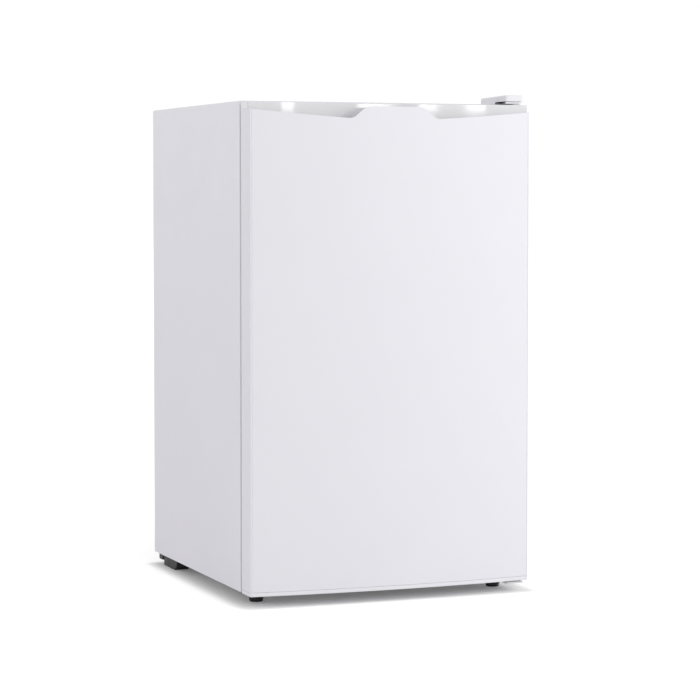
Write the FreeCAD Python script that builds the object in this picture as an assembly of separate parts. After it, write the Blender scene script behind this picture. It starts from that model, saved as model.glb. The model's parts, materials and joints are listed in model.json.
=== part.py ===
"""Mini fridge with one bowed door, a scooped pull lip, an ice compartment and a rear condenser.

Millimetres. The origin is on the floor under the middle of the fridge: +X is the hinge side,
-Y the front, +Z up. Each function returns one sub-part, and the last section writes them all.
"""
import FreeCAD
import Part
import math
import os

Vec = FreeCAD.Vector

# ---- overall sizes
WIDTH = 500.0            # cabinet and door
DEPTH = 555.0            # middle of the bowed door to the rear edge of the side panels
CABINET_TOP = 828.0
GROUND_GAP = 20.5        # cabinet underside above the floor

# ---- door
DOOR_BOTTOM = 19.0
DOOR_DROP = 2.3          # door top below cabinet top
DOOR_EDGE = 45.0         # thickness at its side edges
DOOR_BOW = 14.0          # how far the middle stands in front of the side edges
DOOR_FRONT_CORNER = 5.0
DOOR_REAR_CORNER = 4.0
SEAL_GAP = 4.5           # door back to cabinet front
BOTTOM_CAP_RIM = 7.0
TOP_CAP_RIM = 12.3
CAP_PLUG = 34.0          # how far each end cap reaches into the door skin
SKIN_RETURN = 10.0

# ---- pull lip along the top of the door
SCOOP_FALL = 14.0        # skin edge at the tab's foot below its height at the side edges
SCOOP_SAG = 0.9
SCOOP_ROUND = 2000.0     # its long, shallow curve
TAB_HALF_TOP = 51.0
TAB_HALF_FOOT = 74.0
TAB_RISE = 19.9
TAB_TOP_ROUND = 8.0
TAB_FOOT_ROUND = 6.0
LIP = 2.4                # plastic lip behind the skin's upper edge
WALL_SETBACK = 8.0       # recess wall behind the skin's front corners
WALL_DIP = 9.5           # how much deeper the recess wall lies in the middle
WALL_STRAIGHT = 60.0     # straight stretch of recess wall at each end
WALL_MIDDLE = 62.0       # half length of the deep middle stretch
POCKET_DEPTH = 39.0      # pocket floor below the door top, in the middle
POCKET_HALF = 90.0
POCKET_END_DEPTH = 14.5
POCKET_CROWN = 2.0       # pocket floor higher at the ends of its middle stretch
WALL_EASE = 0.4          # softens the wall's turns in and out of its slope

# ---- cabinet walls
SHEET = 0.8
RETURN = 28.0            # folded front edge of the steel cabinet, which the magnets hold to
REAR_RETURN = 8.0
SHELL_ROUND = 3.0
SIDE_WALL = 36.0
TOP_WALL = 42.0
FLOOR_WALL = 41.5
BACK_WALL = 40.0
REAR_RECESS = 24.0       # back panel in front of the side panels' rear edge
LINER = 1.6
CAVITY_ROUND = 18.0
BAY_DEPTH = 152.5        # compressor bay
BAY_HEIGHT = 199.5
BAY_WALL = 30.0

# ---- hinges
PIN_RADIUS = 4.0
PIN_INSET = 18.0         # from the door's side
PIN_FROM_BACK = 25.5     # from the door's back
PIN_REACH = 13.0         # how far a pin goes into the door
BUSH_RADIUS = 6.5
BUSH_FLANGE = 8.5
BUSH_FLANGE_HEIGHT = 1.6
BUSH_FLOOR = 3.0         # bush beyond the pin's end
PIN_HEAD = 2.0           # height of the riveted head, which stands 1 mm proud all round
PIN_HEAD_LIP = 1.0
PLATE = 3.0
HINGE_PLATE_SHORT = 12.0 # hinge plate shorter than its cover
HINGE_PAD = 4.5          # front end of the plate, ahead of its neck
HINGE_NECK_END = 8.0     # neck ends this far behind the cabinet front
FIT = 0.06               # radial running clearance of pins, studs and spindles
BRACKET_DROP = 3.0       # hinge bracket under the door
COVER_LEFT = 39.2        # hinge cover's left and right faces from the cabinet side
COVER_RIGHT = 6.0
COVER_OVERHANG = 37.6    # in front of the cabinet
COVER_LENGTH = 103.0
COVER_HEIGHT = 14.4
COVER_FALL = 2.0         # its top is lower at the rear
COVER_LIFT = 3.7         # its skirt above the cabinet top where it overhangs the door
COVER_WALL = 1.8
COVER_EDGE = 3.0         # rounding along its top front edge
COVER_CORNER = 3.5
COVER_LEAST_ROUND = 0.5
COVER_SKIRT = 6.5        # behind the cabinet front, where its skirt reaches the cabinet top
BRACKET_WIDTH = 52.0     # lower bracket's left end from the cabinet side
BRACKET_REACH = 12.0     # in front of the pin
BRACKET_STEP = 2.0       # its crank starts behind the cabinet front
BRACKET_LENGTH = 68.0
BRACKET_NECK = 18.0      # left of the pin, under the door
SCREW_RADIUS = 2.2
SCREW_LENGTH = 14.0
SCREW_HEAD_RADIUS = 4.5
SCREW_HEAD = 2.5
SCREW_HEAD_ROUND = 1.2
HINGE_SCREW_INSET = 9.0  # from the sides of the cover
HINGE_SCREW_ROWS = (22.0, 42.0)
BRACKET_SCREWS = ((45.0, 56.0), (13.0, 56.0), (13.0, 28.0))  # from the side, from the front

# ---- feet
FOOT_INSET = 34.5
FOOT_SETBACK = 20.5
FOOT_TOP_RADIUS = 13.5
FOOT_BASE_RADIUS = 11.0
FOOT_HEIGHT = 14.0
STUD_RADIUS = 4.0
STUD_TOP = 40.0
STUD_CHAMFER = 0.8
STUD_CLEARANCE = 0.5     # round the stud in the floor plate
NUT_RADIUS = 8.0
PAD_RIM = 4.0            # upright rim at the top of a front foot
REAR_FOOT_INSET = 6.0
REAR_FOOT_WIDTH = 26.0
REAR_FOOT_LENGTH = 80.0
REAR_FOOT_FROM_REAR = 39.5
REAR_FOOT_TOE = 16.0     # length of its sloped front
REAR_FOOT_NOSE = 9.0     # height at which the slope starts
REAR_FOOT_TAIL = 30.0
REAR_FOOT_TAIL_LIFT = 8.0
REAR_FOOT_NOTCH = 15.0   # top of the notch between foot and tail

# ---- inside the cabin
LOWER_SHELF_GAP = 6.0    # shelf above the step over the compressor bay
UPPER_SHELF_GAP = 90.0   # shelf below the control box
SHELF_GLASS = 4.0
SHELF_FRONT_GAP = 80.0   # cabinet front to the shelf's front trim
SHELF_REAR_GAP = 8.0
SHELF_SIDE_GAP = 1.5
SHELF_ROUND = 6.0
TRIM_FRONT = 6.0         # front trim ahead of the shelf
TRIM_GRIP = 8.0          # how far the trims reach over the glass
TRIM_REAR = 3.0
TRIM_LIP = 2.5           # trim below the glass
TRIM_CROWN = 4.0         # front trim above the glass
TRIM_STOP = 10.0         # rear trim above the glass, which stops food touching the back
TRIM_ROUND = 2.0
GLASS_SETBACK = 4.0
LEDGE_WIDTH = 8.0
LEDGE_DEPTH = 6.0

EVAP_SIDE_GAP = 24.0
EVAP_TOP_GAP = 12.0
EVAP_BACK_GAP = 13.5
EVAP_HEIGHT = 142.0
EVAP_SETBACK = 204.0     # its front behind the cabinet front
EVAP_SHEET = 1.6
EVAP_ROUND = 12.0
BEAD = 2.6
BEAD_COUNT = 6
BEAD_END = 25.0          # channels end short of the ice box's rounded corners
BEAD_BITE = 0.5
HANGER_RADIUS = 7.0
HANGER_SIDE = 40.0       # from the sides of the ice box
HANGER_END = 30.0        # from its front and rear
FRAME_DEPTH = 12.0
FRAME_LAP = 6.0
FRAME_BAR = 16.0
FRAME_ROUND = 10.0
MOUTH_ROUND = 3.0
FLAP_THICKNESS = 4.0
FLAP_GAP = 1.5
FLAP_PIN = 2.5
FLAP_PIN_DROP = 7.0      # hinge line below the frame's opening
FLAP_PIN_LENGTH = 5.0
FLAP_HEAD = 4.0          # flap above its hinge line
FLAP_ROUND = 2.0
GRIP_HALF = 32.0         # flap's finger lip
GRIP_WALL = 2.0
GRIP_REACH = 7.0
GRIP_LIFT = 3.0
GRIP_HEIGHT = 9.0

TRAY_DROP = 12.0         # drip tray rim below the evaporator
TRAY_HEIGHT = 18.0
TRAY_WALL = 2.0
TRAY_SIDE_GAP = 20.0
TRAY_FLANGE = 6.0
TRAY_END_GAP = 4.0       # inside the ice box's front and rear
TRAY_ROUND = 8.0
TRAY_FLANGE_START = 10.0
TRAY_FLANGE_END = 2.0
TRAY_GRIP_HALF = 40.0
TRAY_GRIP_REACH = 6.0
TRAY_GRIP_LIFT = 4.0
RAIL_FRONT = 14.0        # rails start behind the ice box's front
RAIL_REAR = 6.0
RAIL_GAP = 1.5           # rail ledge from the tray's side
SLIDE_GAP = 0.3

CONTROL_REACH = 36.0     # control box out from the side wall
CONTROL_GAP = 6.0        # below the drip tray
CONTROL_HEIGHT = 76.0
CONTROL_START = 194.0    # its front behind the cabinet front
CONTROL_LENGTH = 90.0
CONTROL_WALL = 2.0
CONTROL_ROUND = 5.0
SWITCH_HALF = 16.0       # thermostat switch, half its length
SWITCH_HALF_HEIGHT = 14.0
SWITCH_SETBACK = 6.0     # behind the control box's face
SWITCH_WALL_GAP = 2.0
SWITCH_BUSH_RADIUS = 6.0
SPINDLE_RADIUS = 3.0
SPINDLE_REACH = 16.0     # into the switch
SPINDLE_SLOT = 1.0       # clearance in the control box's face
KNOB_RADIUS = 19.0
KNOB_DEPTH = 14.0
KNOB_GAP = 0.8           # knob to control box
KNOB_EDGE = 1.5
KNOB_BORE = 3.0          # knob's face to the spindle's end
KNOB_FLUTES = 18
FLUTE_RADIUS = 2.0
FLUTE_OFFSET = 1.2       # flute centres outside the knob's rim
FLUTE_STOP = 4.0         # knob's base left plain
KNOB_BAR = 4.0           # height of the grip bar
KNOB_BAR_HALF = 3.0
KNOB_BAR_REACH = 14.0
LAMP_LENGTH = 44.0
LAMP_ROUND = 8.0
SOCKET_RADIUS = 9.0
SOCKET_LENGTH = 11.0
BULB_PROFILE = ((0.0, 0.0), (6.0, 0.0), (6.0, 5.0), (10.5, 14.0), (10.5, 22.0), (6.0, 28.0), (0.0, 28.0))
BULB_ROUNDS = (0.0, 0.0, 3.0, 5.0, 6.0, 4.0, 0.0)

# ---- inside of the door
DYKE_INSET = 50.0        # raised rib of the door liner, from the door's side
DYKE_WIDTH = 22.0
DYKE_HEIGHT = 23.0
DYKE_ROUND = 14.0
DYKE_END_GAP = 14.0      # rib to the cabin's floor and ceiling
BOSS_WIDTH = 10.0        # supports under each rack
BOSS_HEIGHT = 8.0
BOSS_SETBACK = 6.0
GASKET_INSET = 16.0      # keeps its hinge side clear of the cabinet as the door swings
GASKET_WIDTH = 14.0
GASKET_ROUND = 8.0
MAGNET = 2.2
MAGNET_COVER = 0.8       # vinyl over the magnets
RACK_DEPTH = 66.0
RACK_WALL = 2.0
RACK_ROUND = 10.0
RACK_SWEEP = 0.45        # share of a rack's height by which its front is lower than its back
RACK_SHOULDER = 20.0     # its sides keep their full height this far out
RACK_FLOOR_GAP = 10.0    # bottle rack above the rib's lower run
BOTTLE_RACK_HEIGHT = 95.0
SHORT_RACK_HEIGHT = 60.0
MIDDLE_RACK_BOTTOM = 330.0
UPPER_RACK_BOTTOM = 540.0
BAR_LIFT = 40.0          # bottle bar above its rack
BAR_SETBACK = 8.0        # behind the rack's front, and inside the rib at its ends
BAR_RADIUS = 2.5
BAR_BEND = 8.0
BAR_STRAIGHT_END = 34.0  # from the rib, where the bar turns in
BAR_END = 14.0           # straight end that enters the rib

# ---- cooling machine
COMPRESSOR_X = 60.0
COMPRESSOR_RADIUS = 64.0
COMPRESSOR_HEIGHT = 138.0
COMPRESSOR_WALL = 3.0
POT_LOW_ROUND = 20.0
POT_HIGH_ROUND = 32.0
SEAM_HEIGHT = 0.42       # share of the pot's height at which its halves are welded
SEAM_WIDTH = 7.0
SEAM_LIP = 2.5
STATOR_RADIUS = 42.0
STATOR_HEIGHT = 55.0
PUMP_RADIUS = 26.0
PUMP_HEIGHT = 45.0
RELAY_REACH = 24.0       # terminal cover out from the pot
RELAY_INNER = 30.0
RELAY_HALF = 27.0
RELAY_LOW = 62.0
RELAY_HIGH = 118.0
RELAY_FIT = 5.0          # its lower end clears the weld
RELAY_ROUND = 5.0
INLET_X = 60.0           # mains inlet beside the pot
INLET_HALF = 20.0
INLET_PLATE = 1.5
INLET_LOW = 12.0
INLET_HEIGHT = 30.0
INLET_TOP = 16.0
INLET_RADIUS = 8.0
INLET_BORE = 3.5
INLET_HALF_LENGTH = 9.0
PAN_HALF_X = 62.0        # evaporating pan on the pot
PAN_HALF_Y = 46.0
PAN_HEIGHT = 26.0
PAN_WALL = 2.0
PAN_ROUND = 12.0
GROMMET_HEIGHT = 12.0
GROMMET_RADIUS = 9.0
GROMMET_GROOVE = 2.0
GROMMET_SHOULDERS = (4.0, 6.0, 8.0)
MOUNT_HALF_X = 72.0
MOUNT_HALF_Y = 58.0
MOUNT_HOLE_INSET = 12.0
BOLT_RADIUS = 4.0
BOLT_HEAD_RADIUS = 7.0
BOLT_HEAD = 4.0
MOUNT_ROUND = 8.0
PLATFORM_SHEET = 1.5
PLATFORM_START = 10.0    # behind the bay's front wall
PLATFORM_END = 12.0      # in front of the cabinet's rear edge
PLATFORM_LIP = 12.0
CONDENSER_RADIUS = 2.5
CONDENSER_PITCH = 50.0
CONDENSER_SIDE_GAP = 65.0
CONDENSER_RISER_GAP = 35.0
CONDENSER_TOP_GAP = 68.0
CONDENSER_LOW_GAP = 40.0 # lowest pass at least this far above the compressor bay
CONDENSER_STANDOFF = 12.5
RISER_PASSES = 2         # the risers end this many pitches below the coil
BRACKET_HALF = 6.0       # condenser standoff
STANDOFF_FOOT = 3.0
STANDOFF_HALF = 22.0
STANDOFF_SCREW = 15.0
STANDOFF_LIP = 1.5
SMALL_SCREW_RADIUS = 1.5
SMALL_SCREW_LENGTH = 3.0
SMALL_HEAD_RADIUS = 3.0
SMALL_HEAD = 2.0
WIRE_RADIUS = 0.8
WIRE_PITCH = 12.0
WIRE_OVERHANG = 12.0     # wires beyond the first and last pass
WIRE_END_GAP = 4.0
DRIER_RADIUS = 8.0
DRIER_LENGTH = 90.0
DRIER_NECK = 14.0
DRIER_ROUND = 4.0
SUCTION_RADIUS = 4.0
DISCHARGE_RADIUS = 3.0
CAPILLARY_RADIUS = 1.2
DRAIN_RADIUS = 8.0
DRAIN_SETBACK = 16.0     # drain in front of the cavity's back
DRAIN_LIFT = 30.0        # its lower end above the pot
SUCTION_HEIGHT = 100.0   # where the pipes meet the pot
DISCHARGE_HEIGHT = 40.0
SUCTION_OUT = 30.0       # suction line from the pot
SUCTION_FALL = 40.0      # where it enters the ice box, below its top
CAPILLARY_FALL = 60.0
CAPILLARY_LOW = 20.0
CAPILLARY_IN = 80.0      # capillary's climb from its riser
PIPE_BENDS = {"suction_line": 12.0, "discharge_line": 16.0, "capillary_tube": 8.0}
PIPE_CLEARANCE = 0.3

# ---- places worked out from the sizes above
HALF = WIDTH / 2
REAR = DEPTH / 2
DOOR_APEX = -DEPTH / 2
DOOR_CORNER_Y = DOOR_APEX + DOOR_BOW
DOOR_BACK = DOOR_CORNER_Y + DOOR_EDGE
FRONT = DOOR_BACK + SEAL_GAP
DOOR_TOP = CABINET_TOP - DOOR_DROP
SKIN_BOTTOM = DOOR_BOTTOM + BOTTOM_CAP_RIM
SKIN_SIDE_TOP = DOOR_TOP - TOP_CAP_RIM
TAB_FOOT_Z = SKIN_SIDE_TOP - SCOOP_FALL
TAB_TOP_Z = TAB_FOOT_Z + TAB_RISE
PANEL = REAR - REAR_RECESS
CAVITY_HALF = HALF - SIDE_WALL
CAVITY_FLOOR = GROUND_GAP + FLOOR_WALL
CAVITY_TOP = CABINET_TOP - TOP_WALL
CAVITY_BACK = PANEL - BACK_WALL
BAY_FRONT = PANEL - BAY_DEPTH
BAY_TOP = GROUND_GAP + BAY_HEIGHT
STEP_FRONT = BAY_FRONT - BAY_WALL
STEP_TOP = BAY_TOP + BAY_WALL
INNER_HALF = HALF - SHEET
PIN_X = HALF - PIN_INSET
PIN_Y = DOOR_BACK - PIN_FROM_BACK
BRACKET_TOP = DOOR_BOTTOM - BRACKET_DROP
FOOT_X = HALF - FOOT_INSET
FOOT_Y = FRONT + FOOT_SETBACK
EVAP_HALF = CAVITY_HALF - EVAP_SIDE_GAP
EVAP_TOP = CAVITY_TOP - EVAP_TOP_GAP
EVAP_BOTTOM = EVAP_TOP - EVAP_HEIGHT
EVAP_REAR = CAVITY_BACK - EVAP_BACK_GAP
EVAP_FRONT = FRONT + EVAP_SETBACK
EVAP_LENGTH = EVAP_REAR - EVAP_FRONT
FRAME_FRONT = EVAP_FRONT - FRAME_DEPTH
FRAME_HALF = EVAP_HALF + FRAME_LAP
MOUTH_HALF = FRAME_HALF - FRAME_BAR
MOUTH_TOP = EVAP_TOP + FRAME_LAP - FRAME_BAR
MOUTH_BOTTOM = EVAP_BOTTOM - FRAME_LAP + FRAME_BAR
FLAP_AXIS_Y = EVAP_FRONT - FRAME_DEPTH / 2
FLAP_AXIS_Z = MOUTH_TOP - FLAP_PIN_DROP
TRAY_HALF = EVAP_HALF - TRAY_SIDE_GAP
TRAY_RIM = EVAP_BOTTOM - TRAY_DROP
CONTROL_BOTTOM = TRAY_RIM - TRAY_HEIGHT - CONTROL_GAP - CONTROL_HEIGHT
CONTROL_X = CAVITY_HALF - CONTROL_REACH
CONTROL_FRONT = FRONT + CONTROL_START
CONTROL_BACK = CONTROL_FRONT + CONTROL_LENGTH
KNOB_Y = (CONTROL_FRONT + CONTROL_BACK) / 2
KNOB_Z = CONTROL_BOTTOM + CONTROL_HEIGHT / 2
SHELF_HEIGHTS = (STEP_TOP + LOWER_SHELF_GAP, CONTROL_BOTTOM - UPPER_SHELF_GAP)
PLATE_BACK = DOOR_BACK - SHEET
PLATE_FRONT = PLATE_BACK - LINER
DYKE_HALF = HALF - DYKE_INSET
DYKE_LOW = CAVITY_FLOOR + DYKE_END_GAP
DYKE_HIGH = CAVITY_TOP - DYKE_END_GAP
DYKE_BACK = PLATE_BACK + DYKE_HEIGHT
RACK_HALF = DYKE_HALF - DYKE_WIDTH - RACK_WALL
RACKS = {
    "bottle_rack": (DYKE_LOW + DYKE_WIDTH + RACK_FLOOR_GAP, BOTTLE_RACK_HEIGHT),
    "middle_rack": (MIDDLE_RACK_BOTTOM, SHORT_RACK_HEIGHT),
    "upper_rack": (UPPER_RACK_BOTTOM, SHORT_RACK_HEIGHT),
}
GASKET_HALF = HALF - GASKET_INSET
GASKET_LOW = GROUND_GAP + GASKET_INSET
GASKET_HIGH = CABINET_TOP - GASKET_INSET
GASKET_BACK = FRONT - SLIDE_GAP
COMPRESSOR_Y = (BAY_FRONT + PANEL) / 2
PLATFORM_TOP = GROUND_GAP + PLATFORM_SHEET
MOUNT_Z = PLATFORM_TOP + GROMMET_HEIGHT
POT_BOTTOM = MOUNT_Z + COMPRESSOR_WALL
POT_TOP = POT_BOTTOM + COMPRESSOR_HEIGHT
CONDENSER_Y = PANEL + CONDENSER_STANDOFF
RISER_X = HALF - CONDENSER_RISER_GAP
COIL_HALF = HALF - CONDENSER_SIDE_GAP
COIL_TOP = CABINET_TOP - CONDENSER_TOP_GAP
CONDENSER_PASSES = int((COIL_TOP - BAY_TOP - CONDENSER_LOW_GAP) / CONDENSER_PITCH) // 2 * 2 + 1
COIL_BOTTOM = COIL_TOP - CONDENSER_PITCH * (CONDENSER_PASSES - 1)
RISER_FOOT = COIL_BOTTOM - RISER_PASSES * CONDENSER_PITCH
WALL_PIPE_Y = (CAVITY_BACK + PANEL) / 2
FAR = 2 * (WIDTH + DEPTH + CABINET_TOP)


# ---- building blocks
def box(x0, x1, y0, y1, z0, z1):
    return Part.makeBox(x1 - x0, y1 - y0, z1 - z0, Vec(x0, y0, z0))


def cylinder(radius, start, direction, length):
    return Part.makeCylinder(radius, length, Vec(*start), Vec(*direction))


def fuse(shapes):
    return shapes[0].fuse(shapes[1:]).removeSplitter() if len(shapes) > 1 else shapes[0]


def cut_all(shape, tools):
    return shape.cut(Part.makeCompound(tools)) if tools else shape


def mirrored(shape):
    return shape.mirror(Vec(0, 0, 0), Vec(1, 0, 0))


def both_sides(shape):
    return Part.makeCompound([shape, mirrored(shape)])


def rounded_wire(points, radii, closed=True):
    """Straight runs joined by tangent arcs. A radius of 0 leaves its corner sharp."""
    points = [Vec(*p) for p in points]
    count = len(points)
    if not isinstance(radii, (list, tuple)):
        radii = [radii] * count
    corners = []
    for i, point in enumerate(points):
        if radii[i] <= 0 or (not closed and i in (0, count - 1)):
            corners.append((point, None, point))
            continue
        before = (points[i - 1] - point).normalize()
        after = (points[(i + 1) % count] - point).normalize()
        half_angle = before.getAngle(after) / 2
        setback = radii[i] / math.tan(half_angle)
        bisector = (before + after).normalize()
        middle = point + bisector * (radii[i] / math.sin(half_angle) - radii[i])
        corners.append((point + before * setback, middle, point + after * setback))
    edges = []
    for i, (start, middle, end) in enumerate(corners):
        if middle is not None:
            edges.append(Part.Arc(start, middle, end).toShape())
        if not closed and i == count - 1:
            break
        following = corners[(i + 1) % count][0]
        if (following - end).Length > 1e-6:
            edges.append(Part.LineSegment(end, following).toShape())
    return Part.Wire(edges)


def prism(points, radii, direction):
    """A rounded outline carried along a direction."""
    return Part.Face(rounded_wire(points, radii)).extrude(Vec(*direction))


def prism_xz(x0, x1, z0, z1, radius, y0, y1):
    """A rounded rectangle in XZ, from y0 to y1."""
    corners = [(x0, y0, z0), (x1, y0, z0), (x1, y0, z1), (x0, y0, z1)]
    return prism(corners, radius, (0, y1 - y0, 0))


def prism_xy(x0, x1, y0, y1, radius, z0, z1):
    """A rounded rectangle in XY, from z0 to z1."""
    corners = [(x0, y0, z0), (x1, y0, z0), (x1, y1, z0), (x0, y1, z0)]
    return prism(corners, radius, (0, 0, z1 - z0))


def tube(points, bend, radius):
    """A round rod along straight runs joined by arcs."""
    path = rounded_wire(points, bend, closed=False)
    start = Vec(*points[0])
    profile = Part.Wire(Part.Circle(start, Vec(*points[1]) - start, radius).toShape())
    return path.makePipeShell([profile], True, False)


def turned(points, radii, centre):
    """A profile of (radius, height) points turned about the vertical through centre."""
    face = Part.Face(rounded_wire([(r, 0, z) for r, z in points], radii))
    solid = face.revolve(Vec(0, 0, 0), Vec(0, 0, 1), 360)
    return solid.translate(Vec(*centre))


def fillet_upright(shape, radius_at):
    """Rounds the upright edges for which radius_at(x, y) gives a radius."""
    for radius in sorted({radius_at(e) for e in upright_edges(shape)} - {0}):
        edges = [e for e in upright_edges(shape) if radius_at(e) == radius]
        shape = shape.makeFillet(radius, edges)
    return shape


def upright_edges(shape):
    edges = []
    for edge in shape.Edges:
        along = edge.Vertexes[0].Point - edge.Vertexes[-1].Point
        if abs(along.z) > 1e-3 and abs(along.x) < 1e-6 and abs(along.y) < 1e-6:
            edges.append(edge)
    return edges


# ---- door outline
def door_block(inset, z0, z1):
    """The door's plan, smaller by inset all round, from z0 to z1: flat back, bowed front."""
    bow_radius = (HALF ** 2 + DOOR_BOW ** 2) / (2 * DOOR_BOW)
    half = HALF - inset
    back = DOOR_BACK - inset
    plan = box(-half, half, DOOR_APEX - 1, back, z0, z1)
    bow_centre = (0, DOOR_APEX + bow_radius, z0)
    plan = plan.common(cylinder(bow_radius - inset, bow_centre, (0, 0, 1), z1 - z0))
    middle_y = (DOOR_CORNER_Y + DOOR_BACK) / 2

    def corner_radius(edge):
        is_front = edge.Vertexes[0].Point.y < middle_y
        outer = DOOR_FRONT_CORNER if is_front else DOOR_REAR_CORNER
        return max(outer - inset, 0)

    return fillet_upright(plan, corner_radius)


def under_scoop():
    """Everything below the skin's upper edge: two shallow scoops with a raised tab between."""
    mid_x = (HALF + TAB_HALF_FOOT) / 2
    mid_z = (SKIN_SIDE_TOP + TAB_FOOT_Z) / 2 - SCOOP_SAG
    y = -FAR / 2
    right = [
        (HALF, y, SKIN_SIDE_TOP),
        (mid_x, y, mid_z),
        (TAB_HALF_FOOT, y, TAB_FOOT_Z),
        (TAB_HALF_TOP, y, TAB_TOP_Z),
    ]
    right_radii = [0, SCOOP_ROUND, TAB_FOOT_ROUND, TAB_TOP_ROUND]
    left = [(-x, y, z) for x, y, z in reversed(right)]
    base = [(-HALF, y, 0), (HALF, y, 0)]
    return prism(base + right + left, [0, 0] + right_radii + right_radii[::-1], (0, FAR, 0))


def spline(points, tangent):
    curve = Part.BSplineCurve()
    curve.interpolate(Points=[Vec(*p) for p in points], InitialTangent=tangent, FinalTangent=tangent)
    return curve.toShape()


def above_pocket_floor():
    """Everything above the finger pocket's floor, which rises towards the door's sides."""
    low = DOOR_TOP - POCKET_DEPTH
    end = DOOR_TOP - POCKET_END_DEPTH
    y = -FAR / 2
    shoulder = (POCKET_HALF + HALF) / 2
    middle = (low + end) / 2 + POCKET_CROWN
    half = [(POCKET_HALF, y, low + POCKET_CROWN), (shoulder, y, middle), (HALF, y, end)]
    points = [(-x, y, z) for x, y, z in reversed(half)] + [(0, y, low)] + half
    floor = spline(points, Vec(1, 0, 0))
    top = FAR / 4
    sides = [(HALF, y, end), (HALF, y, top), (-HALF, y, top), (-HALF, y, end)]
    lines = [Part.LineSegment(Vec(*a), Vec(*b)).toShape() for a, b in zip(sides, sides[1:])]
    return Part.Face(Part.Wire([floor] + lines)).extrude(Vec(0, FAR, 0))


def recess_wall_body(z0, z1):
    """The cap behind the recess: a smooth wall that lies deeper in the middle."""
    end_y = DOOR_CORNER_Y + WALL_SETBACK
    deep_y = end_y + WALL_DIP
    corner = DOOR_FRONT_CORNER
    slope_x = (HALF - WALL_STRAIGHT + WALL_MIDDLE) / 2
    half = [
        (WALL_MIDDLE, deep_y - WALL_EASE, z0),
        (slope_x, (end_y + deep_y) / 2, z0),
        (HALF - WALL_STRAIGHT, end_y + WALL_EASE, z0),
        (HALF - corner, end_y, z0),
    ]
    points = [(-x, y, z) for x, y, z in reversed(half)] + [(0, deep_y, z0)] + half
    wall = spline(points, Vec(1, 0, 0))
    turn = corner * (1 - math.sqrt(0.5))
    edges = [wall]
    for side in (1, -1):
        start = Vec(side * (HALF - corner), end_y, z0)
        middle = Vec(side * (HALF - turn), end_y + turn, z0)
        end = Vec(side * HALF, end_y + corner, z0)
        edges.append(Part.Arc(start, middle, end).toShape())
        edges.append(Part.LineSegment(end, Vec(side * HALF, DOOR_BACK, z0)).toShape())
    edges.append(Part.LineSegment(Vec(HALF, DOOR_BACK, z0), Vec(-HALF, DOOR_BACK, z0)).toShape())
    return Part.Face(Part.Wire(Part.__sortEdges__(edges))).extrude(Vec(0, 0, z1 - z0))


# ---- cabinet
def shell_inside(y0, y1, inset=SHEET):
    """The space inside the folded cabinet sheet, from y0 to y1."""
    half = HALF - inset
    corners = [(-half, y0, GROUND_GAP), (half, y0, GROUND_GAP)]
    corners += [(half, y0, CABINET_TOP - inset), (-half, y0, CABINET_TOP - inset)]
    bend = SHELL_ROUND - inset
    return prism(corners, [0, 0, bend, bend], (0, y1 - y0, 0))


def cavity(grow, y0=FRONT):
    """The food space, larger by grow all round, with the step over the compressor bay."""
    half = CAVITY_HALF + grow
    low = CAVITY_FLOOR - grow
    room = prism_xz(-half, half, low, CAVITY_TOP + grow, CAVITY_ROUND + grow, y0, CAVITY_BACK + grow)
    step = box(-HALF, HALF, STEP_FRONT + grow, REAR, 0, STEP_TOP - grow)
    return room.cut(step)


def outer_shell():
    """Left side, top and right side folded from one steel sheet, with returned edges."""
    sheet = shell_inside(FRONT, REAR, 0).cut(shell_inside(FRONT, REAR))
    sheet = sheet.cut(box(-INNER_HALF, INNER_HALF, FRONT, REAR, 0, CABINET_TOP / 2))
    front = shell_inside(FRONT, FRONT + SHEET)
    inner = HALF - RETURN
    lip_top = GROUND_GAP + RETURN
    front = front.cut(box(-inner, inner, FRONT - 1, FRONT + 1, 0, CABINET_TOP - RETURN))
    front = front.cut(box(-HALF, HALF, FRONT - 1, FRONT + 1, 0, lip_top))
    rear = shell_inside(REAR - SHEET, REAR)
    inner = HALF - REAR_RETURN
    rear = rear.cut(box(-inner, inner, REAR - 1, REAR + 1, 0, CABINET_TOP - REAR_RETURN))
    shell = fuse([sheet, front, rear])
    return cut_all(shell, hinge_screw_solids())


def base_plate():
    """Steel floor: front lip, bottom, then up and back over the compressor bay."""
    pieces = [
        box(-INNER_HALF, INNER_HALF, FRONT, FRONT + SHEET, GROUND_GAP, GROUND_GAP + RETURN),
        box(-INNER_HALF, INNER_HALF, FRONT, BAY_FRONT, GROUND_GAP, GROUND_GAP + SHEET),
        box(-INNER_HALF, INNER_HALF, BAY_FRONT - SHEET, BAY_FRONT, GROUND_GAP, BAY_TOP + SHEET),
        box(-INNER_HALF, INNER_HALF, BAY_FRONT - SHEET, PANEL - SHEET, BAY_TOP, BAY_TOP + SHEET),
    ]
    plate = fuse(pieces)
    holes = [stud_hole(side, GROUND_GAP - 1, PLATE) for side in (1, -1)]
    holes += bracket_screw_solids() + [grown_pipe(n) for n in ("suction_line", "capillary_tube")]
    holes.append(drain_bore(DRAIN_RADIUS))
    return cut_all(plate, holes)


def back_panel():
    panel = shell_inside(PANEL - SHEET, PANEL)
    return panel.cut(box(-HALF, HALF, PANEL - 1, PANEL + 1, 0, BAY_TOP))


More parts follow.
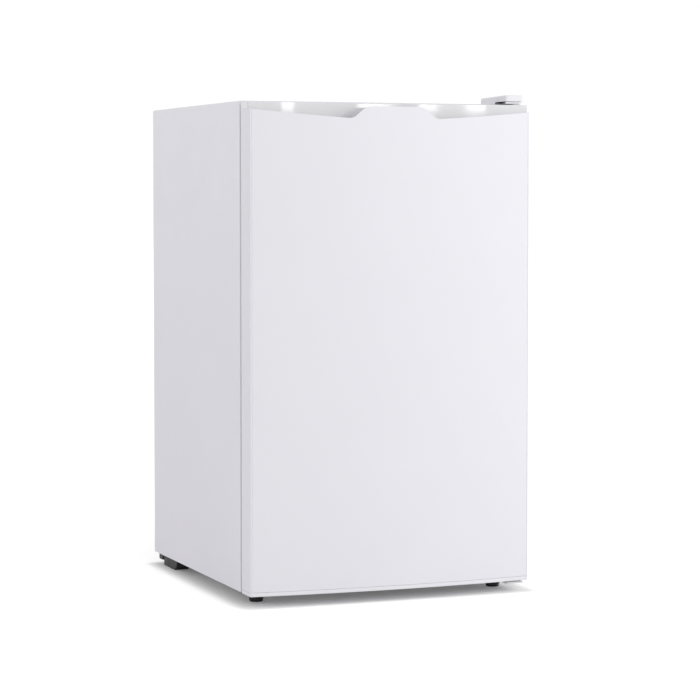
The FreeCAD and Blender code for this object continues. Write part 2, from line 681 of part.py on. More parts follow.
def inner_liner():
    """White formed liner: flange round the mouth, the food space, and two shelf ledges a side."""
    half = HALF - RETURN
    flange = box(-half, half, FRONT, FRONT + LINER, GROUND_GAP + RETURN, CABINET_TOP - RETURN)
    liner = fuse([cavity(LINER), flange]).cut(cavity(0))
    ledges = []
    for height in SHELF_HEIGHTS:
        start = FRONT + SHELF_FRONT_GAP
        wall = CAVITY_HALF + LINER / 2
        inner = CAVITY_HALF - LEDGE_WIDTH
        ledge = box(inner, wall, start, CAVITY_BACK, height - LEDGE_DEPTH, height)
        ledges += [ledge, mirrored(ledge)]
    liner = fuse([liner] + ledges)
    holes = [grown_pipe(n) for n in ("suction_line", "capillary_tube")]
    holes.append(drain_bore(DRAIN_RADIUS - LINER))
    return cut_all(liner, holes)


def cabinet_foam():
    foam = shell_inside(FRONT + LINER, PANEL - SHEET)
    foam = foam.cut(box(-HALF, HALF, FRONT, PANEL, 0, GROUND_GAP + SHEET))
    foam = foam.cut(box(-HALF, HALF, BAY_FRONT - SHEET, PANEL, 0, BAY_TOP + SHEET))
    foam = foam.cut(cavity(LINER))
    tools = hinge_screw_solids() + bracket_screw_solids()
    tools += [foot_nut(side) for side in (1, -1)]
    tools += [stud_hole(side, GROUND_GAP, STUD_TOP - GROUND_GAP + 2) for side in (1, -1)]
    tools += [pipe(n) for n in ("suction_line", "capillary_tube")]
    tools.append(drain_bore(DRAIN_RADIUS))
    return cut_all(foam, tools)


# ---- feet
def stud_hole(side, z0, length):
    return cylinder(STUD_RADIUS + STUD_CLEARANCE, (side * FOOT_X, FOOT_Y, z0), (0, 0, 1), length)


def foot_nut(side):
    """Hexagonal weld nut on the floor plate."""
    z = GROUND_GAP + SHEET
    points = []
    for i in range(6):
        turn = math.radians(60 * i)
        x = side * FOOT_X + NUT_RADIUS * math.cos(turn)
        points.append((x, FOOT_Y + NUT_RADIUS * math.sin(turn), z))
    return prism(points, 0, (0, 0, NUT_RADIUS))


def foot_nuts():
    bore = STUD_RADIUS + FIT
    nuts = []
    for side in (1, -1):
        hole = cylinder(bore, (side * FOOT_X, FOOT_Y, 0), (0, 0, 1), STUD_TOP * 2)
        nuts.append(foot_nut(side).cut(hole))
    return Part.makeCompound(nuts)


def front_foot_pad(side):
    """Tapered black foot, wider at its top, with a shallow rim to grip it by."""
    profile = [(0, 0), (FOOT_BASE_RADIUS, 0), (FOOT_TOP_RADIUS, FOOT_HEIGHT - PAD_RIM)]
    profile += [(FOOT_TOP_RADIUS, FOOT_HEIGHT), (0, FOOT_HEIGHT)]
    return turned(profile, [0, 1.5, 0, 1, 0], (side * FOOT_X, FOOT_Y, 0))


def front_foot_stud(side):
    length = STUD_TOP - FOOT_HEIGHT
    stud = cylinder(STUD_RADIUS, (side * FOOT_X, FOOT_Y, FOOT_HEIGHT), (0, 0, 1), length)
    top = [e for e in stud.Edges if e.BoundBox.ZMin > STUD_TOP - 1e-3]
    return stud.makeChamfer(STUD_CHAMFER, top)


def rear_feet():
    """Fixed black block under each rear corner, with a sloped front and a short tail behind."""
    back = REAR - REAR_FOOT_FROM_REAR
    front = back - REAR_FOOT_LENGTH
    tail = back + REAR_FOOT_TAIL
    notch_end = back + REAR_FOOT_TAIL_LIFT
    x0 = HALF - REAR_FOOT_INSET - REAR_FOOT_WIDTH
    outline = [
        (x0, front, GROUND_GAP),
        (x0, front + 2, REAR_FOOT_NOSE),
        (x0, front + REAR_FOOT_TOE, 0),
        (x0, back, 0),
        (x0, back, REAR_FOOT_NOTCH),
        (x0, notch_end, REAR_FOOT_NOTCH),
        (x0, notch_end, REAR_FOOT_TAIL_LIFT),
        (x0, tail, REAR_FOOT_TAIL_LIFT),
        (x0, tail, GROUND_GAP),
    ]
    foot = prism(outline, [0, 3, 5, 3, 1, 1, 2, 2, 0], (REAR_FOOT_WIDTH, 0, 0))
    return both_sides(foot)


# ---- hinges
def hinge_plate_outline(z):
    """Plan of the top hinge plate: a narrow neck round the pin, wide over the cabinet."""
    left = HALF - COVER_LEFT + COVER_WALL
    right = HALF - COVER_RIGHT - COVER_WALL
    front = FRONT - COVER_OVERHANG + COVER_WALL
    neck = PIN_X - BUSH_FLANGE
    rear = front + COVER_LENGTH - 2 * COVER_WALL - HINGE_PLATE_SHORT
    pad = front + HINGE_PAD
    neck_end = FRONT + HINGE_NECK_END
    points = [(left, front, z), (right, front, z), (right, rear, z), (left, rear, z)]
    points += [(left, neck_end, z), (neck, neck_end, z), (neck, pad, z), (left, pad, z)]
    return prism(points, [1, 6, 4, 4, 2, 2, 1.5, 1], (0, 0, PLATE))


def top_hinge_plate():
    return cut_all(hinge_plate_outline(CABINET_TOP), hinge_screw_solids() + [top_pin_solid()])


def top_pin_solid():
    low = DOOR_TOP - PIN_REACH
    pin = cylinder(PIN_RADIUS, (PIN_X, PIN_Y, low), (0, 0, 1), CABINET_TOP + PLATE - low)
    head = cylinder(PIN_RADIUS + PIN_HEAD_LIP, (PIN_X, PIN_Y, CABINET_TOP + PLATE), (0, 0, 1), PIN_HEAD)
    return fuse([pin, head])


def bottom_pin_solid():
    top = DOOR_BOTTOM + PIN_REACH
    low = BRACKET_TOP - PLATE
    return cylinder(PIN_RADIUS, (PIN_X, PIN_Y, low), (0, 0, 1), top - low)


def hinge_screw_places():
    right = HALF - COVER_RIGHT - HINGE_SCREW_INSET
    left = HALF - COVER_LEFT + HINGE_SCREW_INSET
    near, far = (FRONT + row for row in HINGE_SCREW_ROWS)
    return [(left, near), (right, near), ((left + right) / 2, far)]


def screw(x, y, z, up):
    """Pan-head screw whose head sits on z and whose shank goes the other way from up."""
    head = cylinder(SCREW_HEAD_RADIUS, (x, y, z), (0, 0, up), SCREW_HEAD)
    rim = [e for e in head.Edges if abs(e.CenterOfMass.z - z - SCREW_HEAD * up) < 1e-3]
    shank = cylinder(SCREW_RADIUS, (x, y, z), (0, 0, -up), SCREW_LENGTH)
    return fuse([head.makeFillet(SCREW_HEAD_ROUND, rim[:1]), shank])


def hinge_screw_solids():
    return [screw(x, y, CABINET_TOP + PLATE, 1) for x, y in hinge_screw_places()]


def hinge_cover():
    """White cap over the top hinge, open underneath, with its skirt raised over the door."""
    def body(inset):
        front = FRONT - COVER_OVERHANG + inset
        rear = FRONT - COVER_OVERHANG + COVER_LENGTH - inset
        x0 = HALF - COVER_LEFT + inset
        x1 = HALF - COVER_RIGHT - inset
        top = CABINET_TOP + COVER_HEIGHT - inset
        outline = [(x0, front, CABINET_TOP), (x0, rear, CABINET_TOP)]
        outline += [(x0, rear, top - COVER_FALL), (x0, front, top)]
        edge = max(COVER_EDGE - inset, COVER_LEAST_ROUND)
        solid = prism(outline, [0, 0, edge, 1], (x1 - x0, 0, 0))
        corner = max(COVER_CORNER - inset, COVER_LEAST_ROUND)
        return solid.common(prism_xy(x0, x1, front, rear, corner, CABINET_TOP, top + 1))

    cover = body(0).cut(body(COVER_WALL))
    over_door = box(0, FAR, -FAR, FRONT + COVER_SKIRT, CABINET_TOP - 1, CABINET_TOP + COVER_LIFT)
    return cover.cut(over_door)


def bracket_screw_places():
    return [(HALF - across, FRONT + back) for across, back in BRACKET_SCREWS]


def bracket_screw_solids():
    under = GROUND_GAP - PLATE
    return [screw(x, y, under, -1) for x, y in bracket_screw_places()]


def bottom_hinge_bracket():
    """Cranked steel bracket: bolted under the cabinet, stepping down under the door."""
    x0 = HALF - BRACKET_WIDTH
    x1 = HALF - COVER_RIGHT
    front = PIN_Y - BRACKET_REACH
    step = FRONT + BRACKET_STEP
    rear = FRONT + BRACKET_LENGTH
    top = BRACKET_TOP
    under = GROUND_GAP
    outline = [(x0, front, top - PLATE), (x0, front, top), (x0, step, top), (x0, step + 5, under)]
    outline += [(x0, rear, under), (x0, rear, under - PLATE)]
    outline += [(x0, step + 6, under - PLATE), (x0, step + 1, top - PLATE)]
    bracket = prism(outline, [0, 0, 1, 1, 0, 0, 1, 1], (x1 - x0, 0, 0))
    beside_neck = box(x0 - 1, PIN_X - BRACKET_NECK, front - 1, step, 0, GROUND_GAP)
    holes = bracket_screw_solids() + [bottom_pin_solid(), stud_hole(1, 0, GROUND_GAP + 1)]
    return cut_all(bracket.cut(beside_neck), holes)


def hinge_bush(pin_z, up):
    """Flanged plastic bush in a door cap. Its flange faces the hinge."""
    flange = cylinder(BUSH_FLANGE, (PIN_X, PIN_Y, pin_z), (0, 0, up), BUSH_FLANGE_HEIGHT)
    start = (PIN_X, PIN_Y, pin_z + BUSH_FLOOR * up)
    bore = cylinder(PIN_RADIUS + FIT, start, (0, 0, -up), PIN_REACH + BUSH_FLOOR + 0.5)
    return fuse([bush_hole(pin_z, up), flange]).cut(bore)


def bush_hole(pin_z, up):
    """The round body of a bush, which is also the hole that it fills."""
    return cylinder(BUSH_RADIUS, (PIN_X, PIN_Y, pin_z), (0, 0, -up), PIN_REACH + BUSH_FLOOR)


def hinge_bushes():
    return Part.makeCompound([hinge_bush(DOOR_TOP, 1), hinge_bush(DOOR_BOTTOM, -1)])


# ---- door
def door_skin():
    """Bowed steel front wrapped round the door's sides, its top edge cut to scoops and a tab."""
    z_top = TAB_TOP_Z
    skin = door_block(0, SKIN_BOTTOM, z_top).cut(door_block(SHEET, SKIN_BOTTOM, z_top))
    inner = HALF - SKIN_RETURN
    skin = skin.cut(box(-inner, inner, DOOR_BACK - SHEET, DOOR_BACK + 1, 0, z_top + 1))
    return skin.common(under_scoop())


def plate_zone():
    """Where the door liner's plate and the skin's rear returns lie between the end caps."""
    return box(-HALF, HALF, PLATE_FRONT, DOOR_BACK + 1, SKIN_BOTTOM, SKIN_SIDE_TOP)


def door_top_cap():
    """Glossy end cap with the full-width finger recess behind the skin's upper edge."""
    rim = door_block(0, SKIN_SIDE_TOP, DOOR_TOP)
    plug_bottom = DOOR_TOP - POCKET_DEPTH - CAP_PLUG / 2
    plug = door_block(SHEET, plug_bottom, SKIN_SIDE_TOP).cut(plate_zone())
    cap = fuse([rim, plug])
    wall = recess_wall_body(0, FAR / 4)
    pocket = above_pocket_floor().cut(wall)
    cap = cap.cut(pocket)
    z0 = plug_bottom
    lip = door_block(SHEET, z0, DOOR_TOP).cut(door_block(SHEET + LIP, z0, DOOR_TOP))
    lip = lip.common(above_pocket_floor()).common(under_scoop()).cut(wall)
    cap = fuse([cap, lip])
    return cut_all(cap, [bush_hole(DOOR_TOP, 1)])


def door_bottom_cap():
    rim = door_block(0, DOOR_BOTTOM, SKIN_BOTTOM)
    plug = door_block(SHEET, SKIN_BOTTOM, DOOR_BOTTOM + CAP_PLUG).cut(plate_zone())
    return cut_all(fuse([rim, plug]), [bush_hole(DOOR_BOTTOM, -1)])


def dyke(inset, y0, y1):
    """The raised rib round the door liner, thinner by inset all round."""
    half = DYKE_HALF - inset
    outer_round = max(DYKE_ROUND - inset, 1)
    low, high = DYKE_LOW + inset, DYKE_HIGH - inset
    outer = prism_xz(-half, half, low, high, outer_round, y0, y1)
    half = DYKE_HALF - DYKE_WIDTH + inset
    low, high = DYKE_LOW + DYKE_WIDTH - inset, DYKE_HIGH - DYKE_WIDTH + inset
    inner_round = max(DYKE_ROUND - DYKE_WIDTH / 2, 2) + inset
    inner = prism_xz(-half, half, low, high, inner_round, y0, y1)
    return outer.cut(inner)


def door_liner():
    """Formed plastic back of the door: plate, raised rib and a pair of bosses under each rack."""
    half = HALF - 2 * DOOR_REAR_CORNER
    plate = box(-half, half, PLATE_FRONT, PLATE_BACK, SKIN_BOTTOM, SKIN_SIDE_TOP)
    liner = fuse([plate, dyke(0, PLATE_FRONT, DYKE_BACK)])
    liner = liner.cut(dyke(LINER, PLATE_FRONT, DYKE_BACK - LINER))
    bosses = []
    for bottom, _ in RACKS.values():
        inner = RACK_HALF - BOSS_WIDTH
        wall = DYKE_HALF - DYKE_WIDTH + LINER / 2
        boss = box(inner, wall, PLATE_BACK, DYKE_BACK - BOSS_SETBACK, bottom - BOSS_HEIGHT, bottom)
        bosses += [boss, mirrored(boss)]
    return fuse([liner] + bosses)


def door_foam():
    low = DOOR_BOTTOM + CAP_PLUG
    high = DOOR_TOP - POCKET_DEPTH - CAP_PLUG / 2
    core = door_block(SHEET, low, high)
    core = core.cut(box(-HALF, HALF, PLATE_FRONT, DOOR_BACK + 1, low - 1, high + 1))
    rib = dyke(LINER, PLATE_FRONT, DYKE_BACK - LINER)
    return fuse([core, rib])


def gasket_ring(y0, y1):
    outer = prism_xz(-GASKET_HALF, GASKET_HALF, GASKET_LOW, GASKET_HIGH, GASKET_ROUND, y0, y1)
    half = GASKET_HALF - GASKET_WIDTH
    low, high = GASKET_LOW + GASKET_WIDTH, GASKET_HIGH - GASKET_WIDTH
    return outer.cut(prism_xz(-half, half, low, high, 1, y0, y1))


def magnet_solids():
    """Four flexible magnet strips, one in each side of the gasket."""
    y1 = GASKET_BACK - MAGNET_COVER
    y0 = y1 - MAGNET
    width = GASKET_WIDTH / 2
    inset = (GASKET_WIDTH - width) / 2
    x1 = GASKET_HALF - inset
    z0, z1 = GASKET_LOW + inset, GASKET_HIGH - inset
    mitre = GASKET_WIDTH
    side = box(x1 - width, x1, y0, y1, z0 + mitre, z1 - mitre)
    across = x1 - mitre
    bottom = box(-across, across, y0, y1, z0, z0 + width)
    top = box(-across, across, y0, y1, z1 - width, z1)
    return [side, mirrored(side), bottom, top]


def door_gasket():
    """Vinyl seal round the liner's plate, with room for the magnets inside it."""
    return cut_all(gasket_ring(PLATE_BACK, GASKET_BACK), magnet_solids())


def rack(bottom, height):
    """Open-topped door rack with a lower front than sides."""
    back = PLATE_BACK + RACK_DEPTH
    outer = prism_xy(-RACK_HALF, RACK_HALF, PLATE_BACK, back, 0, bottom, bottom + height)
    outer = fillet_upright(outer, lambda e: RACK_ROUND if e.Vertexes[0].Point.y > PLATE_BACK + 1 else 0)
    half = RACK_HALF - RACK_WALL
    floor = bottom + RACK_WALL
    inner_round = RACK_ROUND - RACK_WALL
    inner = prism_xy(-half, half, PLATE_BACK + RACK_WALL, back - RACK_WALL, inner_round, floor, CABINET_TOP)
    tray = outer.cut(inner)
    top = bottom + height
    shoulder = PLATE_BACK + RACK_SHOULDER
    open_top = [(-HALF, shoulder, top), (-HALF, back + 1, top - RACK_SWEEP * height)]
    open_top += [(-HALF, back + 1, top + 1), (-HALF, shoulder, top + 1)]
    return tray.cut(prism(open_top, 0, (WIDTH, 0, 0)))


def bottle_bar():
    """Round bar across the bottle rack that keeps tall bottles in."""
    bottom, height = RACKS["bottle_rack"]
    z = bottom + height + BAR_LIFT
    y = PLATE_BACK + RACK_DEPTH - BAR_SETBACK
    end_y = DYKE_BACK - BAR_SETBACK
    end = DYKE_HALF - DYKE_WIDTH
    right = [(end - BAR_STRAIGHT_END, y, z), (end - BAR_END, end_y, z), (end, end_y, z)]
    left = [(-px, py, pz) for px, py, pz in reversed(right)]
    return tube(left + right, BAR_BEND, BAR_RADIUS)


# ---- food space
def shelf_glass(height):
    half = CAVITY_HALF - SHELF_SIDE_GAP
    front = FRONT + SHELF_FRONT_GAP + GLASS_SETBACK
    back = CAVITY_BACK - SHELF_REAR_GAP
    return prism_xy(-half, half, front, back, SHELF_ROUND, height, height + SHELF_GLASS)


def shelf_trims(height):
    """Front and rear plastic edges that grip the glass."""
    half = CAVITY_HALF - SHELF_SIDE_GAP
    front = FRONT + SHELF_FRONT_GAP
    back = CAVITY_BACK - SHELF_REAR_GAP
    low = height - TRIM_LIP
    top = height + SHELF_GLASS
    notch = CAVITY_HALF - LEDGE_WIDTH - SLIDE_GAP
    front_ends = (front - TRIM_FRONT, front + TRIM_GRIP)
    rear_ends = (back - TRIM_GRIP, back + TRIM_REAR)
    front_bar = prism_xz(-half, half, low, top + TRIM_CROWN, TRIM_ROUND, *front_ends)
    rear_bar = prism_xz(-half, half, low, top + TRIM_STOP, TRIM_ROUND, *rear_ends)
    bars = []
    for bar in (front_bar, rear_bar):
        for side in (1, -1):
            x0, x1 = sorted((side * notch, side * HALF))
            bar = bar.cut(box(x0, x1, front, REAR, low - 1, height))
        bars.append(bar.cut(shelf_glass(height)))
    return bars


def evaporator():
    """Aluminium ice box, open in front, with raised refrigerant channels under it."""
    def shell(inset, y0, y1):
        half = EVAP_HALF - inset
        low, high = EVAP_BOTTOM + inset, EVAP_TOP - inset
        return prism_xz(-half, half, low, high, EVAP_ROUND - inset, y0, y1)

    ice_box = shell(0, EVAP_FRONT, EVAP_REAR)
    ice_box = ice_box.cut(shell(EVAP_SHEET, EVAP_FRONT - 1, EVAP_REAR - EVAP_SHEET))
    half = EVAP_HALF - EVAP_ROUND - BEAD_END
    above = box(-HALF, HALF, -REAR, REAR, EVAP_BOTTOM + BEAD_BITE, CABINET_TOP)
    beads = []
    for i in range(BEAD_COUNT):
        y = EVAP_FRONT + EVAP_LENGTH * (i + 0.5) / BEAD_COUNT
        bead = cylinder(BEAD, (-half, y, EVAP_BOTTOM), (1, 0, 0), 2 * half)
        beads.append(bead.cut(above))
    return fuse([ice_box] + beads)


def evaporator_hangers():
    x = EVAP_HALF - HANGER_SIDE
    hangers = []
    for y in (EVAP_FRONT + HANGER_END, EVAP_REAR - HANGER_END):
        post = cylinder(HANGER_RADIUS, (x, y, EVAP_TOP), (0, 0, 1), EVAP_TOP_GAP)
        hangers += [post, mirrored(post)]
    return Part.makeCompound(hangers)


def ice_frame():
    """White bezel round the ice box mouth, with a hinge hole each side."""
    low, high = EVAP_BOTTOM - FRAME_LAP, EVAP_TOP + FRAME_LAP
    ends = (FRAME_FRONT, EVAP_FRONT)
    frame = prism_xz(-FRAME_HALF, FRAME_HALF, low, high, FRAME_ROUND, *ends)
    mouth = prism_xz(-MOUTH_HALF, MOUTH_HALF, MOUTH_BOTTOM, MOUTH_TOP, MOUTH_ROUND, *ends)
    length = 2 * (MOUTH_HALF + FLAP_PIN_LENGTH)
    start = (-length / 2, FLAP_AXIS_Y, FLAP_AXIS_Z)
    return frame.cut(mouth).cut(cylinder(FLAP_PIN + FIT, start, (1, 0, 0), length))


def ice_flap():
    """Flap hung from two pins at its top edge, with a finger lip at the bottom."""
    half = MOUTH_HALF - FLAP_GAP
    low = MOUTH_BOTTOM + FLAP_GAP
    high = FLAP_AXIS_Z + FLAP_HEAD
    y0 = FLAP_AXIS_Y - FLAP_THICKNESS / 2
    y1 = FLAP_AXIS_Y + FLAP_THICKNESS / 2
    panel = prism_xz(-half, half, low, high, FLAP_ROUND, y0, y1)
    length = 2 * (MOUTH_HALF + FLAP_PIN_LENGTH - SLIDE_GAP)
    pins = cylinder(FLAP_PIN, (-length / 2, FLAP_AXIS_Y, FLAP_AXIS_Z), (1, 0, 0), length)
    foot = low + GRIP_LIFT
    grip = prism_xz(-GRIP_HALF, GRIP_HALF, foot, foot + GRIP_HEIGHT, 3, y0 - GRIP_REACH, y0 + 1)
    half = GRIP_HALF - GRIP_WALL - 1
    ends = (y0 - GRIP_REACH + GRIP_WALL, y0 - 1)
    scoop = prism_xz(-half, half, foot + GRIP_WALL, foot + 2 * GRIP_HEIGHT, 1, *ends)
    return fuse([panel, pins, grip.cut(scoop)])


def drip_tray():
    """Shallow tray under the ice box, hanging by its side flanges on two rails."""
    front = EVAP_FRONT + TRAY_END_GAP
    back = EVAP_REAR - TRAY_END_GAP
    low = TRAY_RIM - TRAY_HEIGHT
    tray = prism_xy(-TRAY_HALF, TRAY_HALF, front, back, TRAY_ROUND, low, TRAY_RIM)
    half = TRAY_HALF - TRAY_WALL
    ends = (front + TRAY_WALL, back - TRAY_WALL)
    inner = prism_xy(-half, half, *ends, TRAY_ROUND - TRAY_WALL, low + TRAY_WALL, TRAY_RIM + 1)
    half = TRAY_HALF + TRAY_FLANGE
    ends = (front + TRAY_FLANGE_START, back - TRAY_FLANGE_END)
    flange = box(-half, half, *ends, TRAY_RIM - TRAY_WALL, TRAY_RIM)
    ends = (front - TRAY_GRIP_REACH, front + 1)
    grip = prism_xz(-TRAY_GRIP_HALF, TRAY_GRIP_HALF, low + TRAY_GRIP_LIFT, TRAY_RIM, 2, *ends)
    return fuse([tray, flange, grip]).cut(inner)


def drip_tray_rails():
    """Plastic angle rails screwed under the ice box."""
    leg = TRAY_HALF + TRAY_FLANGE + SLIDE_GAP
    shelf_top = TRAY_RIM - TRAY_WALL - SLIDE_GAP
    shelf_low = shelf_top - TRAY_WALL
    front, back = EVAP_FRONT + RAIL_FRONT, EVAP_REAR - RAIL_REAR
    upright = box(leg, leg + TRAY_WALL, front, back, shelf_low, EVAP_BOTTOM)
    shelf = box(TRAY_HALF + RAIL_GAP, leg + TRAY_WALL, front, back, shelf_low, shelf_top)
    return both_sides(fuse([upright, shelf]))


def control_housing():
    """White box on the side wall that holds the thermostat and carries the lamp."""
    x0, x1 = CONTROL_X, CAVITY_HALF
    z0, z1 = CONTROL_BOTTOM, CONTROL_BOTTOM + CONTROL_HEIGHT
    outer = prism_xz(x0, x1, z0, z1, 0, CONTROL_FRONT, CONTROL_BACK)
    outer = fillet_upright(outer, lambda e: CONTROL_ROUND if e.Vertexes[0].Point.x < x0 + 1 else 0)
    wall = CONTROL_WALL
    inner = box(x0 + wall, x1 + 1, CONTROL_FRONT + wall, CONTROL_BACK - wall, z0 + wall, z1 - wall)
    hole = cylinder(SPINDLE_RADIUS + SPINDLE_SLOT, (x0 - 1, KNOB_Y, KNOB_Z), (1, 0, 0), CONTROL_REACH / 2)
    return outer.cut(inner).cut(hole)


def thermostat_control():
    """Metal thermostat switch behind the knob, with the bush its spindle turns in."""
    x0 = CONTROL_X + CONTROL_WALL
    low, high = KNOB_Z - SWITCH_HALF_HEIGHT, KNOB_Z + SWITCH_HALF_HEIGHT
    start, end = x0 + SWITCH_SETBACK, CAVITY_HALF - SWITCH_WALL_GAP
    body = box(start, end, KNOB_Y - SWITCH_HALF, KNOB_Y + SWITCH_HALF, low, high)
    bush = cylinder(SWITCH_BUSH_RADIUS, (x0, KNOB_Y, KNOB_Z), (1, 0, 0), SWITCH_SETBACK + 1)
    depth = SPINDLE_REACH + 4
    hole = cylinder(SPINDLE_RADIUS + FIT, (x0 - 1, KNOB_Y, KNOB_Z), (1, 0, 0), depth)
    return fuse([body, bush]).cut(hole)


def knob_spindle():
    start = CONTROL_X - KNOB_DEPTH + KNOB_BORE
    length = CONTROL_X + CONTROL_WALL + SPINDLE_REACH - start
    return cylinder(SPINDLE_RADIUS, (start, KNOB_Y, KNOB_Z), (1, 0, 0), length)


def thermostat_knob():
    """Fluted knob with a raised grip bar and a bore for the spindle."""
    back = CONTROL_X - KNOB_GAP
    front = back - KNOB_DEPTH
    knob = cylinder(KNOB_RADIUS, (front, KNOB_Y, KNOB_Z), (1, 0, 0), KNOB_DEPTH)
    rim = [e for e in knob.Edges if abs(e.CenterOfMass.x - front) < 1e-3]
    knob = knob.makeFillet(KNOB_EDGE, rim[:1])
    flutes = []
    reach = KNOB_RADIUS + FLUTE_OFFSET
    for i in range(KNOB_FLUTES):
        turn = 2 * math.pi * i / KNOB_FLUTES
        start = (front - 1, KNOB_Y + reach * math.cos(turn), KNOB_Z + reach * math.sin(turn))
        flutes.append(cylinder(FLUTE_RADIUS, start, (1, 0, 0), KNOB_DEPTH + 1 - FLUTE_STOP))
    low, high = KNOB_Z - KNOB_BAR_REACH, KNOB_Z + KNOB_BAR_REACH
    bar = box(front - KNOB_BAR, front + 1, KNOB_Y - KNOB_BAR_HALF, KNOB_Y + KNOB_BAR_HALF, low, high)
    return cut_all(knob, flutes).fuse(bar).cut(knob_spindle())


def lamp_cover():
    """Clear cover in front of the control box."""
    x0, x1 = CONTROL_X, CAVITY_HALF
    z0, z1 = CONTROL_BOTTOM, CONTROL_BOTTOM + CONTROL_HEIGHT
    front = CONTROL_FRONT - LAMP_LENGTH
    outer = box(x0, x1, front, CONTROL_FRONT, z0, z1)

    def corner_radius(edge):
        point = edge.Vertexes[0].Point
        return LAMP_ROUND if point.x < x0 + 1 and point.y < front + 1 else 0

    outer = fillet_upright(outer, corner_radius)
    wall = CONTROL_WALL
    inner = box(x0 + wall, x1 + 1, front + wall, CONTROL_FRONT + 1, z0 + wall, z1 - wall)
    return outer.cut(inner)


def lamp_axis():
    return CONTROL_X + CONTROL_REACH / 2 + 1, KNOB_Z


def lamp_socket():
    x, z = lamp_axis()
    return cylinder(SOCKET_RADIUS, (x, CONTROL_FRONT, z), (0, -1, 0), SOCKET_LENGTH)


def lamp_bulb():
    x, z = lamp_axis()
    bulb = turned(BULB_PROFILE, BULB_ROUNDS, (0, 0, 0))
    bulb.rotate(Vec(0, 0, 0), Vec(1, 0, 0), 90)
    return bulb.translate(Vec(x, CONTROL_FRONT - SOCKET_LENGTH, z))


# ---- cooling machine
def mount_places():
    dx = MOUNT_HALF_X - MOUNT_HOLE_INSET
    dy = MOUNT_HALF_Y - MOUNT_HOLE_INSET
    return [(COMPRESSOR_X + sx * dx, COMPRESSOR_Y + sy * dy) for sx in (1, -1) for sy in (1, -1)]


def compressor_platform():
    """Folded steel tray across the bay that carries the compressor."""
    front, rear = BAY_FRONT + PLATFORM_START, REAR - PLATFORM_END
    lip_top = PLATFORM_TOP + PLATFORM_LIP
    pieces = [
        box(-INNER_HALF, INNER_HALF, front, rear, GROUND_GAP, PLATFORM_TOP),
        box(-INNER_HALF, INNER_HALF, front, front + PLATFORM_SHEET, GROUND_GAP, lip_top),
        box(-INNER_HALF, INNER_HALF, rear - PLATFORM_SHEET, rear, GROUND_GAP, lip_top),
    ]
    holes = [cylinder(BOLT_RADIUS, (x, y, 0), (0, 0, 1), POT_TOP) for x, y in mount_places()]
    return cut_all(fuse(pieces), holes)


def compressor_grommets():
    """Rubber rings with a groove round their middle."""
    outer, groove = GROMMET_RADIUS, GROMMET_RADIUS - GROMMET_GROOVE
    low, middle, high = GROMMET_SHOULDERS
    profile = [(BOLT_RADIUS, 0), (outer, 0), (outer, low), (groove, middle), (outer, high)]
    profile += [(outer, GROMMET_HEIGHT), (BOLT_RADIUS, GROMMET_HEIGHT)]
    rounds = [0, 1, 1, 1, 1, 1, 0]
    return Part.makeCompound([turned(profile, rounds, (x, y, PLATFORM_TOP)) for x, y in mount_places()])


def compressor_bolts():
    bolts = []
    top = MOUNT_Z + COMPRESSOR_WALL
    low = GROUND_GAP - 1.5
    for x, y in mount_places():
        shank = cylinder(BOLT_RADIUS, (x, y, low), (0, 0, 1), top - low)
        head = cylinder(BOLT_HEAD_RADIUS, (x, y, top), (0, 0, 1), BOLT_HEAD)
        bolts.append(fuse([shank, head]))
    return Part.makeCompound(bolts)


def pot_solid(inset):
    """The pot's outer shape, or with an inset the room inside it."""
    radius = COMPRESSOR_RADIUS - inset
    top = COMPRESSOR_HEIGHT - inset
    profile = [(0, inset), (radius, inset), (radius, top), (0, top)]
    centre = (COMPRESSOR_X, COMPRESSOR_Y, POT_BOTTOM)
    return turned(profile, [0, POT_LOW_ROUND - inset, POT_HIGH_ROUND - inset, 0], centre)


def compressor():
    """Sealed steel pot on its mounting plate, with the weld bead round its middle."""
    plate = box(-MOUNT_HALF_X, MOUNT_HALF_X, -MOUNT_HALF_Y, MOUNT_HALF_Y, 0, COMPRESSOR_WALL)
    plate = fillet_upright(plate, lambda e: MOUNT_ROUND)
    plate.translate(Vec(COMPRESSOR_X, COMPRESSOR_Y, MOUNT_Z))
    seam_z = POT_BOTTOM + COMPRESSOR_HEIGHT * SEAM_HEIGHT
    start = (COMPRESSOR_X, COMPRESSOR_Y, seam_z)
    seam = cylinder(COMPRESSOR_RADIUS + SEAM_LIP, start, (0, 0, 1), SEAM_WIDTH)
    pot = fuse([pot_solid(0), plate, seam]).cut(pot_solid(COMPRESSOR_WALL))
    holes = [cylinder(BOLT_RADIUS, (x, y, 0), (0, 0, 1), POT_TOP) for x, y in mount_places()]
    return cut_all(pot, holes)


def compressor_motor():
    """Motor and pump block inside the pot."""
    low = POT_BOTTOM + COMPRESSOR_WALL
    centre = (COMPRESSOR_X, COMPRESSOR_Y)
    stator = cylinder(STATOR_RADIUS, (*centre, low), (0, 0, 1), STATOR_HEIGHT)
    pump = cylinder(PUMP_RADIUS, (*centre, low + STATOR_HEIGHT), (0, 0, 1), PUMP_HEIGHT)
    return fuse([stator, pump])


